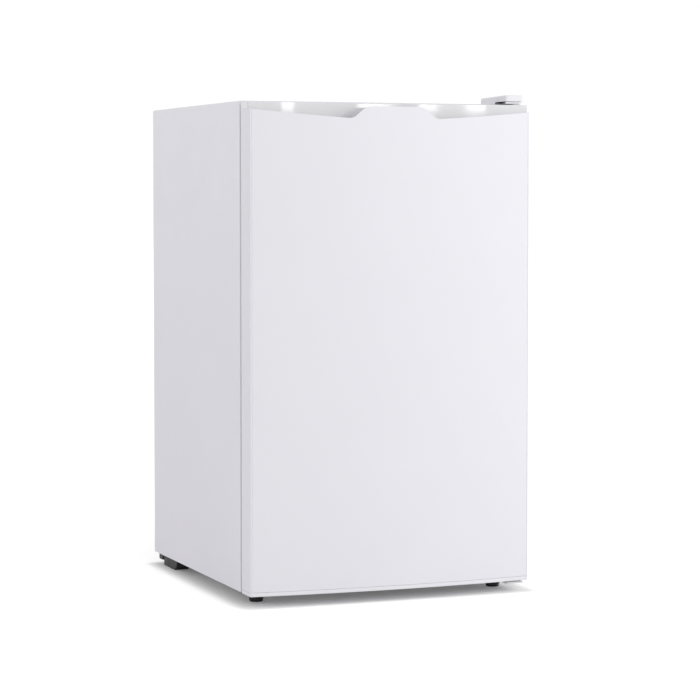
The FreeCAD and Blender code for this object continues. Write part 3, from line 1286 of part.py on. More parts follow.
def relay_cover():
    """Black terminal cover on the compressor's side."""
    x0, x1 = COMPRESSOR_X - COMPRESSOR_RADIUS - RELAY_REACH, COMPRESSOR_X - RELAY_INNER
    y0, y1 = COMPRESSOR_Y - RELAY_HALF, COMPRESSOR_Y + RELAY_HALF
    low = POT_BOTTOM + RELAY_LOW
    cover = box(x0, x1, y0, y1, low, POT_BOTTOM + RELAY_HIGH)
    cover = fillet_upright(cover, lambda e: RELAY_ROUND if e.Vertexes[0].Point.x < x0 + 1 else 0)
    seam_radius = COMPRESSOR_RADIUS + SEAM_LIP
    seam = cylinder(seam_radius, (COMPRESSOR_X, COMPRESSOR_Y, 0), (0, 0, 1), low + RELAY_FIT)
    upper = cylinder(COMPRESSOR_RADIUS, (COMPRESSOR_X, COMPRESSOR_Y, 0), (0, 0, 1), POT_TOP)
    return cover.cut(seam).cut(upper)


def mains_inlet():
    """Strain-relief bush in the compressor platform, where the mains lead would leave."""
    x, y = COMPRESSOR_X - COMPRESSOR_RADIUS - INLET_X, REAR - PLATFORM_END
    z = PLATFORM_TOP + INLET_HEIGHT
    low, high = PLATFORM_TOP + INLET_LOW, z + INLET_TOP
    plate = box(x - INLET_HALF, x + INLET_HALF, y - INLET_PLATE, y, low, high)
    start = (x, y - INLET_HALF_LENGTH, z)
    bush = cylinder(INLET_RADIUS, start, (0, 1, 0), 2 * INLET_HALF_LENGTH)
    hole = cylinder(INLET_BORE, start, (0, 1, 0), 2 * INLET_HALF_LENGTH)
    return fuse([plate, bush]).cut(hole)


def evaporating_tray():
    """Pan on top of the compressor where melt water dries off."""
    x, y = COMPRESSOR_X, COMPRESSOR_Y

    def block(inset, low, high):
        half_x, half_y = PAN_HALF_X - inset, PAN_HALF_Y - inset
        return prism_xy(x - half_x, x + half_x, y - half_y, y + half_y, PAN_ROUND - inset, low, high)

    room = block(PAN_WALL, POT_TOP + PAN_WALL, POT_TOP + PAN_HEIGHT + 1)
    return block(0, POT_TOP, POT_TOP + PAN_HEIGHT).cut(room)


def drain_bore(radius):
    low = POT_TOP + DRAIN_LIFT
    start = (COMPRESSOR_X, CAVITY_BACK - DRAIN_SETBACK, low)
    return cylinder(radius, start, (0, 0, 1), STEP_TOP - LINER - low)


def drain_tube():
    return drain_bore(DRAIN_RADIUS).cut(drain_bore(DRAIN_RADIUS - LINER))


def coil_points():
    """Up the right riser, then down pass by pass, and down the left riser."""
    y = CONDENSER_Y
    points = [(RISER_X, y, RISER_FOOT), (RISER_X, y, COIL_TOP)]
    for i in range(CONDENSER_PASSES):
        z = COIL_TOP - CONDENSER_PITCH * i
        side = -1 if i % 2 == 0 else 1
        if i > 0:
            points.append((-side * COIL_HALF, y, z))
        if i < CONDENSER_PASSES - 1:
            points.append((side * COIL_HALF, y, z))
    points += [(-RISER_X, y, COIL_BOTTOM), (-RISER_X, y, RISER_FOOT)]
    return points


def condenser_tube():
    return tube(coil_points(), CONDENSER_PITCH / 2, CONDENSER_RADIUS)


def condenser_wires():
    """Thin upright wires on both faces of the serpentine tube."""
    offset = CONDENSER_RADIUS + WIRE_RADIUS
    reach = COIL_HALF - CONDENSER_PITCH / 2 - WIRE_END_GAP
    count = int(2 * reach / WIRE_PITCH) + 1
    low, high = COIL_BOTTOM - WIRE_OVERHANG, COIL_TOP + WIRE_OVERHANG
    wires = []
    for i in range(count):
        x = (i - (count - 1) / 2) * WIRE_PITCH
        for side in (1, -1):
            y = CONDENSER_Y + side * offset
            wires.append(cylinder(WIRE_RADIUS, (x, y, low), (0, 0, 1), high - low))
    return Part.makeCompound(wires)


def bracket_places():
    x = (COIL_HALF + RISER_X) / 2
    return [(sx * x, z) for sx in (1, -1) for z in (COIL_TOP, COIL_BOTTOM)]


def condenser_brackets():
    """Plastic standoffs that hold the condenser off the back panel."""
    coil = condenser_tube()
    front = PANEL
    back = CONDENSER_Y + CONDENSER_RADIUS + STANDOFF_LIP
    brackets = []
    for x, z in bracket_places():
        x0, x1 = x - BRACKET_HALF, x + BRACKET_HALF
        foot = box(x0, x1, front, front + STANDOFF_FOOT, z - STANDOFF_HALF, z + STANDOFF_HALF)
        arm = box(x0, x1, front, back, z - BRACKET_HALF, z + BRACKET_HALF)
        brackets.append(fuse([foot, arm]).cut(coil))
    screws = condenser_screw_solids()
    return Part.makeCompound([cut_all(b, screws) for b in brackets])


def condenser_screw_solids():
    screws = []
    for x, z in bracket_places():
        for dz in (STANDOFF_SCREW, -STANDOFF_SCREW):
            start = (x, PANEL + STANDOFF_FOOT, z + dz)
            head = cylinder(SMALL_HEAD_RADIUS, start, (0, 1, 0), SMALL_HEAD)
            screws.append(head.fuse(cylinder(SMALL_SCREW_RADIUS, start, (0, -1, 0), SMALL_SCREW_LENGTH)))
    return screws


POT_SIDE = COMPRESSOR_X + COMPRESSOR_RADIUS
SUCTION_X = POT_SIDE + SUCTION_OUT
CAPILLARY_X = -RISER_X + CAPILLARY_IN
STEP_MIDDLE = BAY_TOP + BAY_WALL / 2
PIPES = {
    "suction_line": (
        SUCTION_RADIUS,
        [
            (POT_SIDE, COMPRESSOR_Y, POT_BOTTOM + SUCTION_HEIGHT),
            (SUCTION_X, COMPRESSOR_Y, POT_BOTTOM + SUCTION_HEIGHT),
            (SUCTION_X, COMPRESSOR_Y, STEP_MIDDLE),
            (SUCTION_X, WALL_PIPE_Y, STEP_MIDDLE),
            (SUCTION_X, WALL_PIPE_Y, EVAP_TOP - SUCTION_FALL),
            (SUCTION_X, EVAP_REAR, EVAP_TOP - SUCTION_FALL),
        ],
    ),
    "discharge_line": (
        DISCHARGE_RADIUS,
        [
            (POT_SIDE, COMPRESSOR_Y, POT_BOTTOM + DISCHARGE_HEIGHT),
            (RISER_X, COMPRESSOR_Y, POT_BOTTOM + DISCHARGE_HEIGHT),
            (RISER_X, CONDENSER_Y, POT_BOTTOM + DISCHARGE_HEIGHT),
            (RISER_X, CONDENSER_Y, RISER_FOOT),
        ],
    ),
    "capillary_tube": (
        CAPILLARY_RADIUS,
        [
            (-RISER_X, CONDENSER_Y, RISER_FOOT - DRIER_LENGTH),
            (-RISER_X, CONDENSER_Y, PLATFORM_TOP + CAPILLARY_LOW),
            (-RISER_X, COMPRESSOR_Y, PLATFORM_TOP + CAPILLARY_LOW),
            (CAPILLARY_X, COMPRESSOR_Y, PLATFORM_TOP + CAPILLARY_LOW),
            (CAPILLARY_X, COMPRESSOR_Y, STEP_MIDDLE),
            (CAPILLARY_X, WALL_PIPE_Y, STEP_MIDDLE),
            (CAPILLARY_X, WALL_PIPE_Y, EVAP_TOP - CAPILLARY_FALL),
            (CAPILLARY_X, EVAP_REAR, EVAP_TOP - CAPILLARY_FALL),
        ],
    ),
}


def pipe(name):
    radius, points = PIPES[name]
    return tube(points, PIPE_BENDS[name], radius)


def grown_pipe(name):
    """The space a pipe needs where it passes through sheet."""
    radius, points = PIPES[name]
    return tube(points[1:], PIPE_BENDS[name], radius + PIPE_CLEARANCE)


def compressor_pipes():
    """Suction and discharge lines, each ending on the compressor's round side."""
    lines = [pipe(name).cut(pot_solid(0)) for name in ("suction_line", "discharge_line")]
    return Part.makeCompound(lines)


def filter_drier():
    low = RISER_FOOT - DRIER_LENGTH
    neck = CONDENSER_RADIUS
    profile = [(0, 0), (neck, 0), (DRIER_RADIUS, DRIER_NECK), (DRIER_RADIUS, DRIER_LENGTH - DRIER_NECK)]
    profile += [(neck, DRIER_LENGTH), (0, DRIER_LENGTH)]
    return turned(profile, [0, 0, DRIER_ROUND, DRIER_ROUND, 0, 0], (-RISER_X, CONDENSER_Y, low))


# ---- every sub-part by name
NODES = {
    "outer_shell": outer_shell,
    "inner_liner": inner_liner,
    "cabinet_foam": cabinet_foam,
    "back_panel": back_panel,
    "base_plate": base_plate,
    "foot_nuts": foot_nuts,
    "rear_feet": rear_feet,
    "left_foot_pad": lambda: front_foot_pad(-1),
    "left_foot_stud": lambda: front_foot_stud(-1),
    "right_foot_pad": lambda: front_foot_pad(1),
    "right_foot_stud": lambda: front_foot_stud(1),
    "top_hinge_plate": top_hinge_plate,
    "hinge_pins": lambda: Part.makeCompound([top_pin_solid(), bottom_pin_solid()]),
    "hinge_cover": hinge_cover,
    "hinge_screws": lambda: Part.makeCompound(hinge_screw_solids() + bracket_screw_solids()),
    "bottom_hinge_bracket": bottom_hinge_bracket,
    "door_skin": door_skin,
    "door_top_cap": door_top_cap,
    "door_bottom_cap": door_bottom_cap,
    "door_liner": door_liner,
    "door_foam": door_foam,
    "door_gasket": door_gasket,
    "gasket_magnets": lambda: Part.makeCompound(magnet_solids()),
    "hinge_bushes": hinge_bushes,
    "bottle_rack": lambda: rack(*RACKS["bottle_rack"]),
    "middle_rack": lambda: rack(*RACKS["middle_rack"]),
    "upper_rack": lambda: rack(*RACKS["upper_rack"]),
    "bottle_bar": bottle_bar,
    "lower_shelf_glass": lambda: shelf_glass(SHELF_HEIGHTS[0]),
    "upper_shelf_glass": lambda: shelf_glass(SHELF_HEIGHTS[1]),
    "shelf_trims": lambda: Part.makeCompound([bar for z in SHELF_HEIGHTS for bar in shelf_trims(z)]),
    "evaporator": evaporator,
    "evaporator_hangers": evaporator_hangers,
    "ice_frame": ice_frame,
    "ice_flap": ice_flap,
    "drip_tray": drip_tray,
    "drip_tray_rails": drip_tray_rails,
    "control_housing": control_housing,
    "thermostat_control": thermostat_control,
    "knob_spindle": knob_spindle,
    "thermostat_knob": thermostat_knob,
    "lamp_cover": lamp_cover,
    "lamp_socket": lamp_socket,
    "lamp_bulb": lamp_bulb,
    "compressor_platform": compressor_platform,
    "compressor_grommets": compressor_grommets,
    "compressor_bolts": compressor_bolts,
    "compressor": compressor,
    "compressor_motor": compressor_motor,
    "relay_cover": relay_cover,
    "mains_inlet": mains_inlet,
    "evaporating_tray": evaporating_tray,
    "drain_tube": drain_tube,
    "condenser_tube": condenser_tube,
    "condenser_wires": condenser_wires,
    "condenser_brackets": condenser_brackets,
    "condenser_screws": lambda: Part.makeCompound(condenser_screw_solids()),
    "compressor_pipes": compressor_pipes,
    "capillary_tube": lambda: pipe("capillary_tube"),
    "filter_drier": filter_drier,
}

os.makedirs("parts", exist_ok=True)
for name, make in NODES.items():
    shape = make()
    solids = shape.Solids
    volume = sum(s.Volume for s in solids)
    print(f"{name}: {len(solids)} solid(s), {volume:.1f} mm3, valid {shape.isValid()}", flush=True)
    whole = solids[0] if len(solids) == 1 else Part.makeCompound(solids)
    whole.exportStep(f"parts/{name}.step")
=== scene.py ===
"""Looks of a mini fridge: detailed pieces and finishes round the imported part's fixed frame.

Every surface is worked out in metres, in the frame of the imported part: +X is the hinge side, -Y the
front and +Z up. A shape is either rings of points, one ring per step of a profile, or a merged and
softened copy of a frame piece whose shape is right already.
"""

import json
import math

import bmesh
import bpy
import numpy as np
from bpy.props import FloatProperty, FloatVectorProperty, IntProperty, PointerProperty
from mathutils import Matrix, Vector


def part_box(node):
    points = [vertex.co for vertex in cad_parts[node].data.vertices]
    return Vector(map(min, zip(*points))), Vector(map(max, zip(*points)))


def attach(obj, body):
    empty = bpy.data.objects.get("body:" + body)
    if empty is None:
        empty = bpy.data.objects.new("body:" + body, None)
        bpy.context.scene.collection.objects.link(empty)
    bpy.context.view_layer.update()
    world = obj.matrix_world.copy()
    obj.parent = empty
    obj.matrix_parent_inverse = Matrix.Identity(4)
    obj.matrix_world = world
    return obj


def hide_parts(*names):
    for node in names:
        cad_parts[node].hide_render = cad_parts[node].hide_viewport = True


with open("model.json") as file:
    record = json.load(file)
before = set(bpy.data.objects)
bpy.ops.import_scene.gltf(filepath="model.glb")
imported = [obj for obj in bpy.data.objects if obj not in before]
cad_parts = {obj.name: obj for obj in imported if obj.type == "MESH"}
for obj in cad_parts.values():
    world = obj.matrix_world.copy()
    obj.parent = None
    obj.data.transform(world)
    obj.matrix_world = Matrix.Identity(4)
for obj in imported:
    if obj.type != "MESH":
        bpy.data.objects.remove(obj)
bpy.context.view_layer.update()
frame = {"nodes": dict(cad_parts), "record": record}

bl_info = {
    "name": "Mini Fridge",
    "version": (1, 0, 0),
    "blender": (4, 5, 0),
    "location": "3D View > Sidebar > Mini Fridge",
    "description": "Builds the looks of a mini fridge round its packed frame",
    "category": "Object",
}

MM = 0.001
SLOT_OF = {row["node"]: row["material_slot"] for row in frame["record"]["subparts"]}
BODY_OF = {node: body for body, nodes in frame["record"]["behaviour"]["bodies"].items() for node in nodes}
LOW = {node: np.array(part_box(node)[0]) for node in SLOT_OF}
HIGH = {node: np.array(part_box(node)[1]) for node in SLOT_OF}
CENTRE = {node: (LOW[node] + HIGH[node]) / 2 for node in SLOT_OF}
CAP_STEP = 12.3 * MM  # the recess cap's top above the sheet's edge at the sides
DIAL_TURN = 280  # degrees from the first dial number to the last
HALF = HIGH["outer_shell"][0]
FRONT = LOW["outer_shell"][1]
REAR = HIGH["outer_shell"][1]
CABINET_TOP = HIGH["outer_shell"][2]
UNDERSIDE = LOW["outer_shell"][2]
DOOR_APEX = LOW["door_skin"][1]
DOOR_BACK = HIGH["door_skin"][1]


# ---- user sizes and colours
def length(name, description, default):
    """A size in metres."""
    return FloatProperty(name=name, description=description, default=default, min=0.0, unit="LENGTH",
                         precision=4)


def colour(name, description, default):
    """A linear colour."""
    return FloatVectorProperty(name=name, description=description, default=default, subtype="COLOR", size=3,
                               min=0.0, max=1.0)


class FridgeSizes(bpy.types.PropertyGroup):
    door_bow: length("Door bow", "How far the door's middle stands in front of its side edges", 14 * MM)
    door_corner: length("Door corner", "Radius of the door's front corners", 2.6 * MM)
    rear_corner: length("Door rear corner", "Radius of the door's rear corners", 4 * MM)
    steel: length("Steel", "Thickness of the door and cabinet sheet", 0.8 * MM)
    skin_return: length("Skin return", "Width of the door skin's folded rear edge", 10 * MM)
    scoop_fall: length("Scoop fall", "Fall of the scooped top edge from the side to the tab", 14 * MM)
    tab_half_top: length("Tab top", "Half width of the pull tab at its top", 51 * MM)
    tab_half_foot: length("Tab foot", "Half width of the pull tab at its foot", 74 * MM)
    tab_rise: length("Tab rise", "Height of the pull tab over the scoops", 19.9 * MM)
    lip: length("Lip", "Thickness of the plastic lip behind the skin's top edge", 2.4 * MM)
    wall_setback: length("Recess setback", "Recess wall behind the skin's corners", 8 * MM)
    wall_dip: length("Recess dip", "How much deeper the recess wall lies in the middle", 9.5 * MM)
    pocket_depth: length("Pocket depth", "Depth of the finger pocket in the middle", 39 * MM)
    pocket_end: length("Pocket end", "Depth of the finger pocket at the door's sides", 14.5 * MM)
    edge: length("Soft edge", "Radius of moulded edges", 1.2 * MM)
    fold: length("Fold", "Radius of the cabinet sheet's folds", 3 * MM)
    front_return: length("Front return", "Width of the cabinet's folded front edge", 28 * MM)
    crease: length("Crease", "Depth of the pressed line down each side of the door front", 0.7 * MM)
    rear_return: length("Rear return", "Width of the cabinet's folded rear edge", 8 * MM)
    gasket_width: length("Gasket", "Width of the door gasket", 14 * MM)
    rib_width: length("Door rib", "Width of the door liner's raised rib", 22 * MM)
    rack_wall: length("Rack wall", "Wall of the door racks", 2 * MM)
    knob_flutes: IntProperty(name="Knob flutes", description="Grip flutes round the thermostat knob",
                             default=18, min=6, max=48)


class FridgeColours(bpy.types.PropertyGroup):
    door: colour("Door", "Enamel of the door", (0.800, 0.793, 0.836))
    cabinet: colour("Cabinet", "Enamel of the cabinet", (0.818, 0.805, 0.862))
    # The recess plastic is its own glossy white, set darker than the other white plastic so that it also
    # paints shade into the pull recess.
    recess: colour("Recess", "Glossy plastic of the pull recess", (0.735, 0.735, 0.755))
    plastic: colour("White plastic", "Caps, covers and trims", (0.815, 0.810, 0.845))
    liner: colour("Liner", "Cabinet and door liners", (0.885, 0.885, 0.880))
    clear: colour("Clear parts", "Racks, flap and tray", (0.945, 0.975, 0.985))
    black: colour("Black parts", "Feet, covers and the cooling machine", (0.018, 0.018, 0.019))


class FridgeStage(bpy.types.PropertyGroup):
    camera: FloatVectorProperty(name="Camera", description="Place of the camera", size=3,
                                subtype="TRANSLATION", unit="LENGTH", default=(-1.5113, -3.94723, 0.67272))
    turn: FloatProperty(name="Turn", description="Camera heading from +Y towards +X", subtype="ANGLE",
                        default=0.37168)
    tilt: FloatProperty(name="Tilt", description="Camera pitch, down is negative", subtype="ANGLE",
                        default=-0.04954)
    lens: FloatProperty(name="Lens", description="Focal length in millimetres on a 36 mm sensor",
                        default=123.67)
    shift: FloatProperty(name="Shift", description="Vertical lens shift", default=-0.05)
    floor: colour("Floor", "Studio floor", (0.86, 0.86, 0.86))


# ---- surfaces
def blend01(t):
    """Smooth step: 3t^2 - 2t^3 between 0 and 1."""
    t = np.clip(t, 0, 1)
    return t * t * (3 - 2 * t)


def arc(centre, radius, start, end, count=9):
    """Points centre + radius (cos a, sin a) for a from start to end."""
    angle = np.linspace(start, end, count)
    return np.asarray(centre) + radius * np.stack([np.cos(angle), np.sin(angle)], 1)


def rounded(points, radii, closed=True, count=7):
    """Straight runs joined by tangent arcs: each corner becomes the arc that touches both its runs."""
    points = [np.asarray(p, float) for p in points]
    last = len(points) - 1
    path = []
    for i, point in enumerate(points):
        radius = radii[i] if isinstance(radii, (list, tuple)) else radii
        if radius <= 0 or (not closed and i in (0, last)):
            path.append(point[None])
            continue
        before, after = points[i - 1] - point, points[(i + 1) % (last + 1)] - point
        before, after = before / np.linalg.norm(before), after / np.linalg.norm(after)
        half_angle = math.acos(float(np.clip(before @ after, -1, 1))) / 2
        bisector = (before + after) / np.linalg.norm(before + after)
        centre = point + bisector * radius / math.sin(half_angle)
        start = point + before * radius / math.tan(half_angle)
        end = point + after * radius / math.tan(half_angle)
        share = np.linspace(0, 1, count)[:, None]
        turn = math.pi - 2 * half_angle
        from_centre, to_centre = start - centre, end - centre
        path.append(centre + (np.sin((1 - share) * turn) * from_centre + np.sin(share * turn) * to_centre)
                    / math.sin(turn))
    return np.concatenate(path)


def rectangle(x0, x1, y0, y1, radius, count=7):
    """A rounded rectangle, anticlockwise. A radius of 0 or less keeps the same points at a sharp corner."""
    radius = max(min(radius, (x1 - x0) / 2, (y1 - y0) / 2), 0)
    corners = [(x1 - radius, y0 + radius, -90), (x1 - radius, y1 - radius, 0),
               (x0 + radius, y1 - radius, 90), (x0 + radius, y0 + radius, 180)]
    return np.concatenate([arc((x, y), radius, math.radians(a), math.radians(a + 90), count)
                           for x, y, a in corners])


def inset_box(low, high, corner, across="xy", count=7):
    """The box's outline seen along one axis, as a loop of its inset: a rounded rectangle whose sides
    and corner radius all move in by the inset."""
    a, b = ("xyz".index(axis) for axis in across)

    def loop(inset):
        return rectangle(low[a] + inset, high[a] - inset, low[b] + inset, high[b] - inset,
                         corner - inset, count)

    return loop


def refined(loop, spacing):
    """The same outline with points added along its runs, at the same shares of each run for every inset."""
    base = np.concatenate([loop(0), loop(0)[:1]])
    along = np.concatenate([[0], np.cumsum(np.linalg.norm(np.diff(base, axis=0), axis=1))])
    wanted = np.unique(np.concatenate([along[:-1], np.arange(spacing / 2, along[-1], spacing)]))
    place = np.interp(wanted, along, np.arange(len(along)))

    def finer(inset):
        points = loop(inset)
        points = np.concatenate([points, points[:1]])
        return np.stack([np.interp(place, np.arange(len(points)), points[:, i]) for i in (0, 1)], 1)

    return finer


def stack(loop, profile, axes="xyz"):
    """Rings of points: ring i is loop(inset) lifted to height, for each (inset, height) of the profile.

    axes names where the loop's two coordinates and the height go."""
    rings = np.stack([np.column_stack([loop(inset), np.full(len(loop(inset)), height)])
                      for inset, height in profile])
    return rings[..., [axes.index(a) for a in "xyz"]]


def edge_profile(low, high, radius, start_inset=0.0, count=5):
    """(inset, height) from low to high with both edges rounded by radius."""
    angle = np.linspace(0, math.pi / 2, count)
    lower = np.column_stack([radius * (1 - np.sin(angle)), low + radius * (1 - np.cos(angle))])
    upper = np.column_stack([radius * (1 - np.cos(angle)), high - radius * (1 - np.sin(angle))])
    profile = np.concatenate([lower, upper])
    profile[:, 0] += start_inset
    return profile


def block(low, high, corner, edge, axes="xyz"):
    """A solid rounded rectangle with soft edges, its height along the last of axes."""
    up = "xyz".index(axes[2])
    return stack(inset_box(low, high, corner, axes[:2]), edge_profile(low[up], high[up], edge), axes)


def lathe(profile, centre, axis="z", count=48, radius_at=None):
    """A profile of (radius, height) points turned about an axis: (r cos a, r sin a, h).

    radius_at(angle) multiplies the radius, for flutes."""
    profile = np.asarray(profile, float)
    angle = np.linspace(0, 2 * math.pi, count, endpoint=False)
    swell = np.ones(count) if radius_at is None else radius_at(angle)
    radius = profile[:, :1] * swell[None]
    rings = np.stack([radius * np.cos(angle), radius * np.sin(angle),
                      np.repeat(profile[:, 1:2], count, 1)], -1)
    order = {"z": [0, 1, 2], "x": [2, 0, 1], "y": [1, 2, 0]}[axis]
    return rings[..., order] + np.asarray(centre)


def rod(path, radius, count=14):
    """A circle of that radius carried along a path. Its frame at each point is the projection of one
    fixed direction, the one least in line with the path."""
    path = np.asarray(path, float)
    tangent = np.gradient(path, axis=0)
    tangent /= np.linalg.norm(tangent, axis=1, keepdims=True)
    fixed = np.eye(3)[np.argmin(np.abs(tangent).max(0))]
    side = np.cross(tangent, fixed)
    side /= np.linalg.norm(side, axis=1, keepdims=True)
    up = np.cross(side, tangent)
    angle = np.linspace(0, 2 * math.pi, count, endpoint=False)[None, :, None]
    return path[:, None] + radius * (np.cos(angle) * side[:, None] + np.sin(angle) * up[:, None])


def mirrored(rings):
    """The same rings on the other side of the YZ plane."""
    return (rings * np.array([-1, 1, 1]))[:, ::-1]


def faces_of(rings, around=True, caps=True):
    """Quads between neighbouring rings, and a flat face over each end ring."""
    rows, columns = rings.shape[:2]
    index = np.arange(rows * columns).reshape(rows, columns)
    if around:
        index = np.concatenate([index, index[:, :1]], 1)
    quads = np.stack([index[:-1, :-1], index[:-1, 1:], index[1:, 1:], index[1:, :-1]], -1).reshape(-1, 4)
    faces = quads.tolist()
    if caps:
        faces += [index[0, :columns][::-1].tolist(), index[-1, :columns].tolist()]
    return faces


# ---- pieces
def settle(obj, angle, edge=0.0):
    """Smooth shading that keeps edges sharper than angle, and large faces flat in their light."""
    mesh = obj.data
    mesh.shade_smooth()
    mesh.set_sharp_from_angle(angle=math.radians(angle))
    if edge:
        bevel = obj.modifiers.new("Soft edges", "BEVEL")
        bevel.width = edge
        bevel.segments = 2
        bevel.limit_method = "ANGLE"
        bevel.angle_limit = math.radians(angle)
        bevel.use_clamp_overlap = True
    normals = obj.modifiers.new("Even light", "WEIGHTED_NORMAL")
    normals.keep_sharp = True


def piece(name, shapes, body, slot, *nodes, angle=38, edge=0.0, finish=None):
    """One object from closed shapes, each (rings) or (rings, caps), that stands for CAD nodes."""
    points, faces, first = [], [], 0
    for shape in shapes:
        rings, caps = shape if isinstance(shape, tuple) else (shape, True)
        points.append(rings.reshape(-1, 3))
        faces += [[i + first for i in face] for face in faces_of(rings, True, caps)]
        first += rings.shape[0] * rings.shape[1]
    mesh = bpy.data.meshes.new(name)
    mesh.from_pydata(np.concatenate(points).tolist(), [], faces)
    tidy(mesh, 2e-6, False)
    obj = bpy.data.objects.new(name, mesh)
    bpy.context.scene.collection.objects.link(obj)
    mesh.materials.append(material(finish or slot))
    settle(obj, angle, edge)
    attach(obj, body)
    if nodes:
        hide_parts(*nodes)
    return obj


def tidy(mesh, distance, flatten):
    """Merges doubles and turns every closed surface outwards; flatten joins coplanar triangles."""
    work = bmesh.new()
    work.from_mesh(mesh)
    bmesh.ops.remove_doubles(work, verts=work.verts, dist=distance)
    bmesh.ops.dissolve_degenerate(work, edges=work.edges, dist=distance / 2)
    if flatten:
        bmesh.ops.dissolve_limit(work, verts=work.verts, edges=work.edges, angle_limit=math.radians(0.6))
    bmesh.ops.recalc_face_normals(work, faces=work.faces)
    work.to_mesh(mesh)
    work.free()


def softened(node, edge=0.0, angle=30, name=None):
    """A merged copy of a CAD node with smooth curved faces and, if asked, softened edges."""
    mesh = frame["nodes"][node].data.copy()
    mesh.name = name or node + "_smooth"
    mesh.materials.clear()
    if "custom_normal" in mesh.attributes:
        mesh.attributes.remove(mesh.attributes["custom_normal"])
    tidy(mesh, 5e-6, bool(edge))
    obj = bpy.data.objects.new(mesh.name, mesh)
    bpy.context.scene.collection.objects.link(obj)
    mesh.materials.append(material(SLOT_OF[node]))
    settle(obj, angle, edge)
    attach(obj, BODY_OF[node])
    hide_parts(node)
    return obj


# ---- finishes
def add(tree, kind, links=None, **settings):
    """A shader node with its settings, and its inputs linked or set."""
    made = tree.nodes.new("ShaderNode" + kind)
    for key, value in settings.items():
        setattr(made, key, value)
    for socket, value in (links or {}).items():
        if isinstance(value, bpy.types.NodeSocket):
            tree.links.new(value, made.inputs[socket])
        else:
            made.inputs[socket].default_value = value
    return made


def sum_of(tree, operation, one, two):
    """The output of a Math node."""
    return add(tree, "Math", {0: one, 1: two}, operation=operation).outputs[0]


def noise(tree, where, scale, detail=3.0, stretch=None):
    """Noise on object coordinates, stretched along an axis where a scale per axis is given."""
    if stretch:
        where = add(tree, "Mapping", {"Vector": where, "Scale": stretch}).outputs["Vector"]
    return add(tree, "TexNoise", {"Vector": where, "Scale": scale, "Detail": detail}).outputs["Fac"]


def spread(tree, value, low, high):
    """Noise from 0.3 to 0.7 stretched to run from low to high."""
    return add(tree, "MapRange", {"Value": value, "From Min": 0.3, "From Max": 0.7,
                                  "To Min": low, "To Max": high}).outputs["Result"]


def mix_colour(tree, factor, one, two):
    """The colour (1 - factor) one + factor two."""
    made = add(tree, "Mix", {"Factor": factor}, data_type="RGBA")
    for socket, value in ((made.inputs[6], one), (made.inputs[7], two)):
        if isinstance(value, bpy.types.NodeSocket):
            tree.links.new(value, socket)
        else:
            socket.default_value = value
    return made.outputs[2]


def dimmed(colour_value, share):
    """The same colour with every channel times share."""
    return (*[channel * share for channel in colour_value[:3]], 1.0)


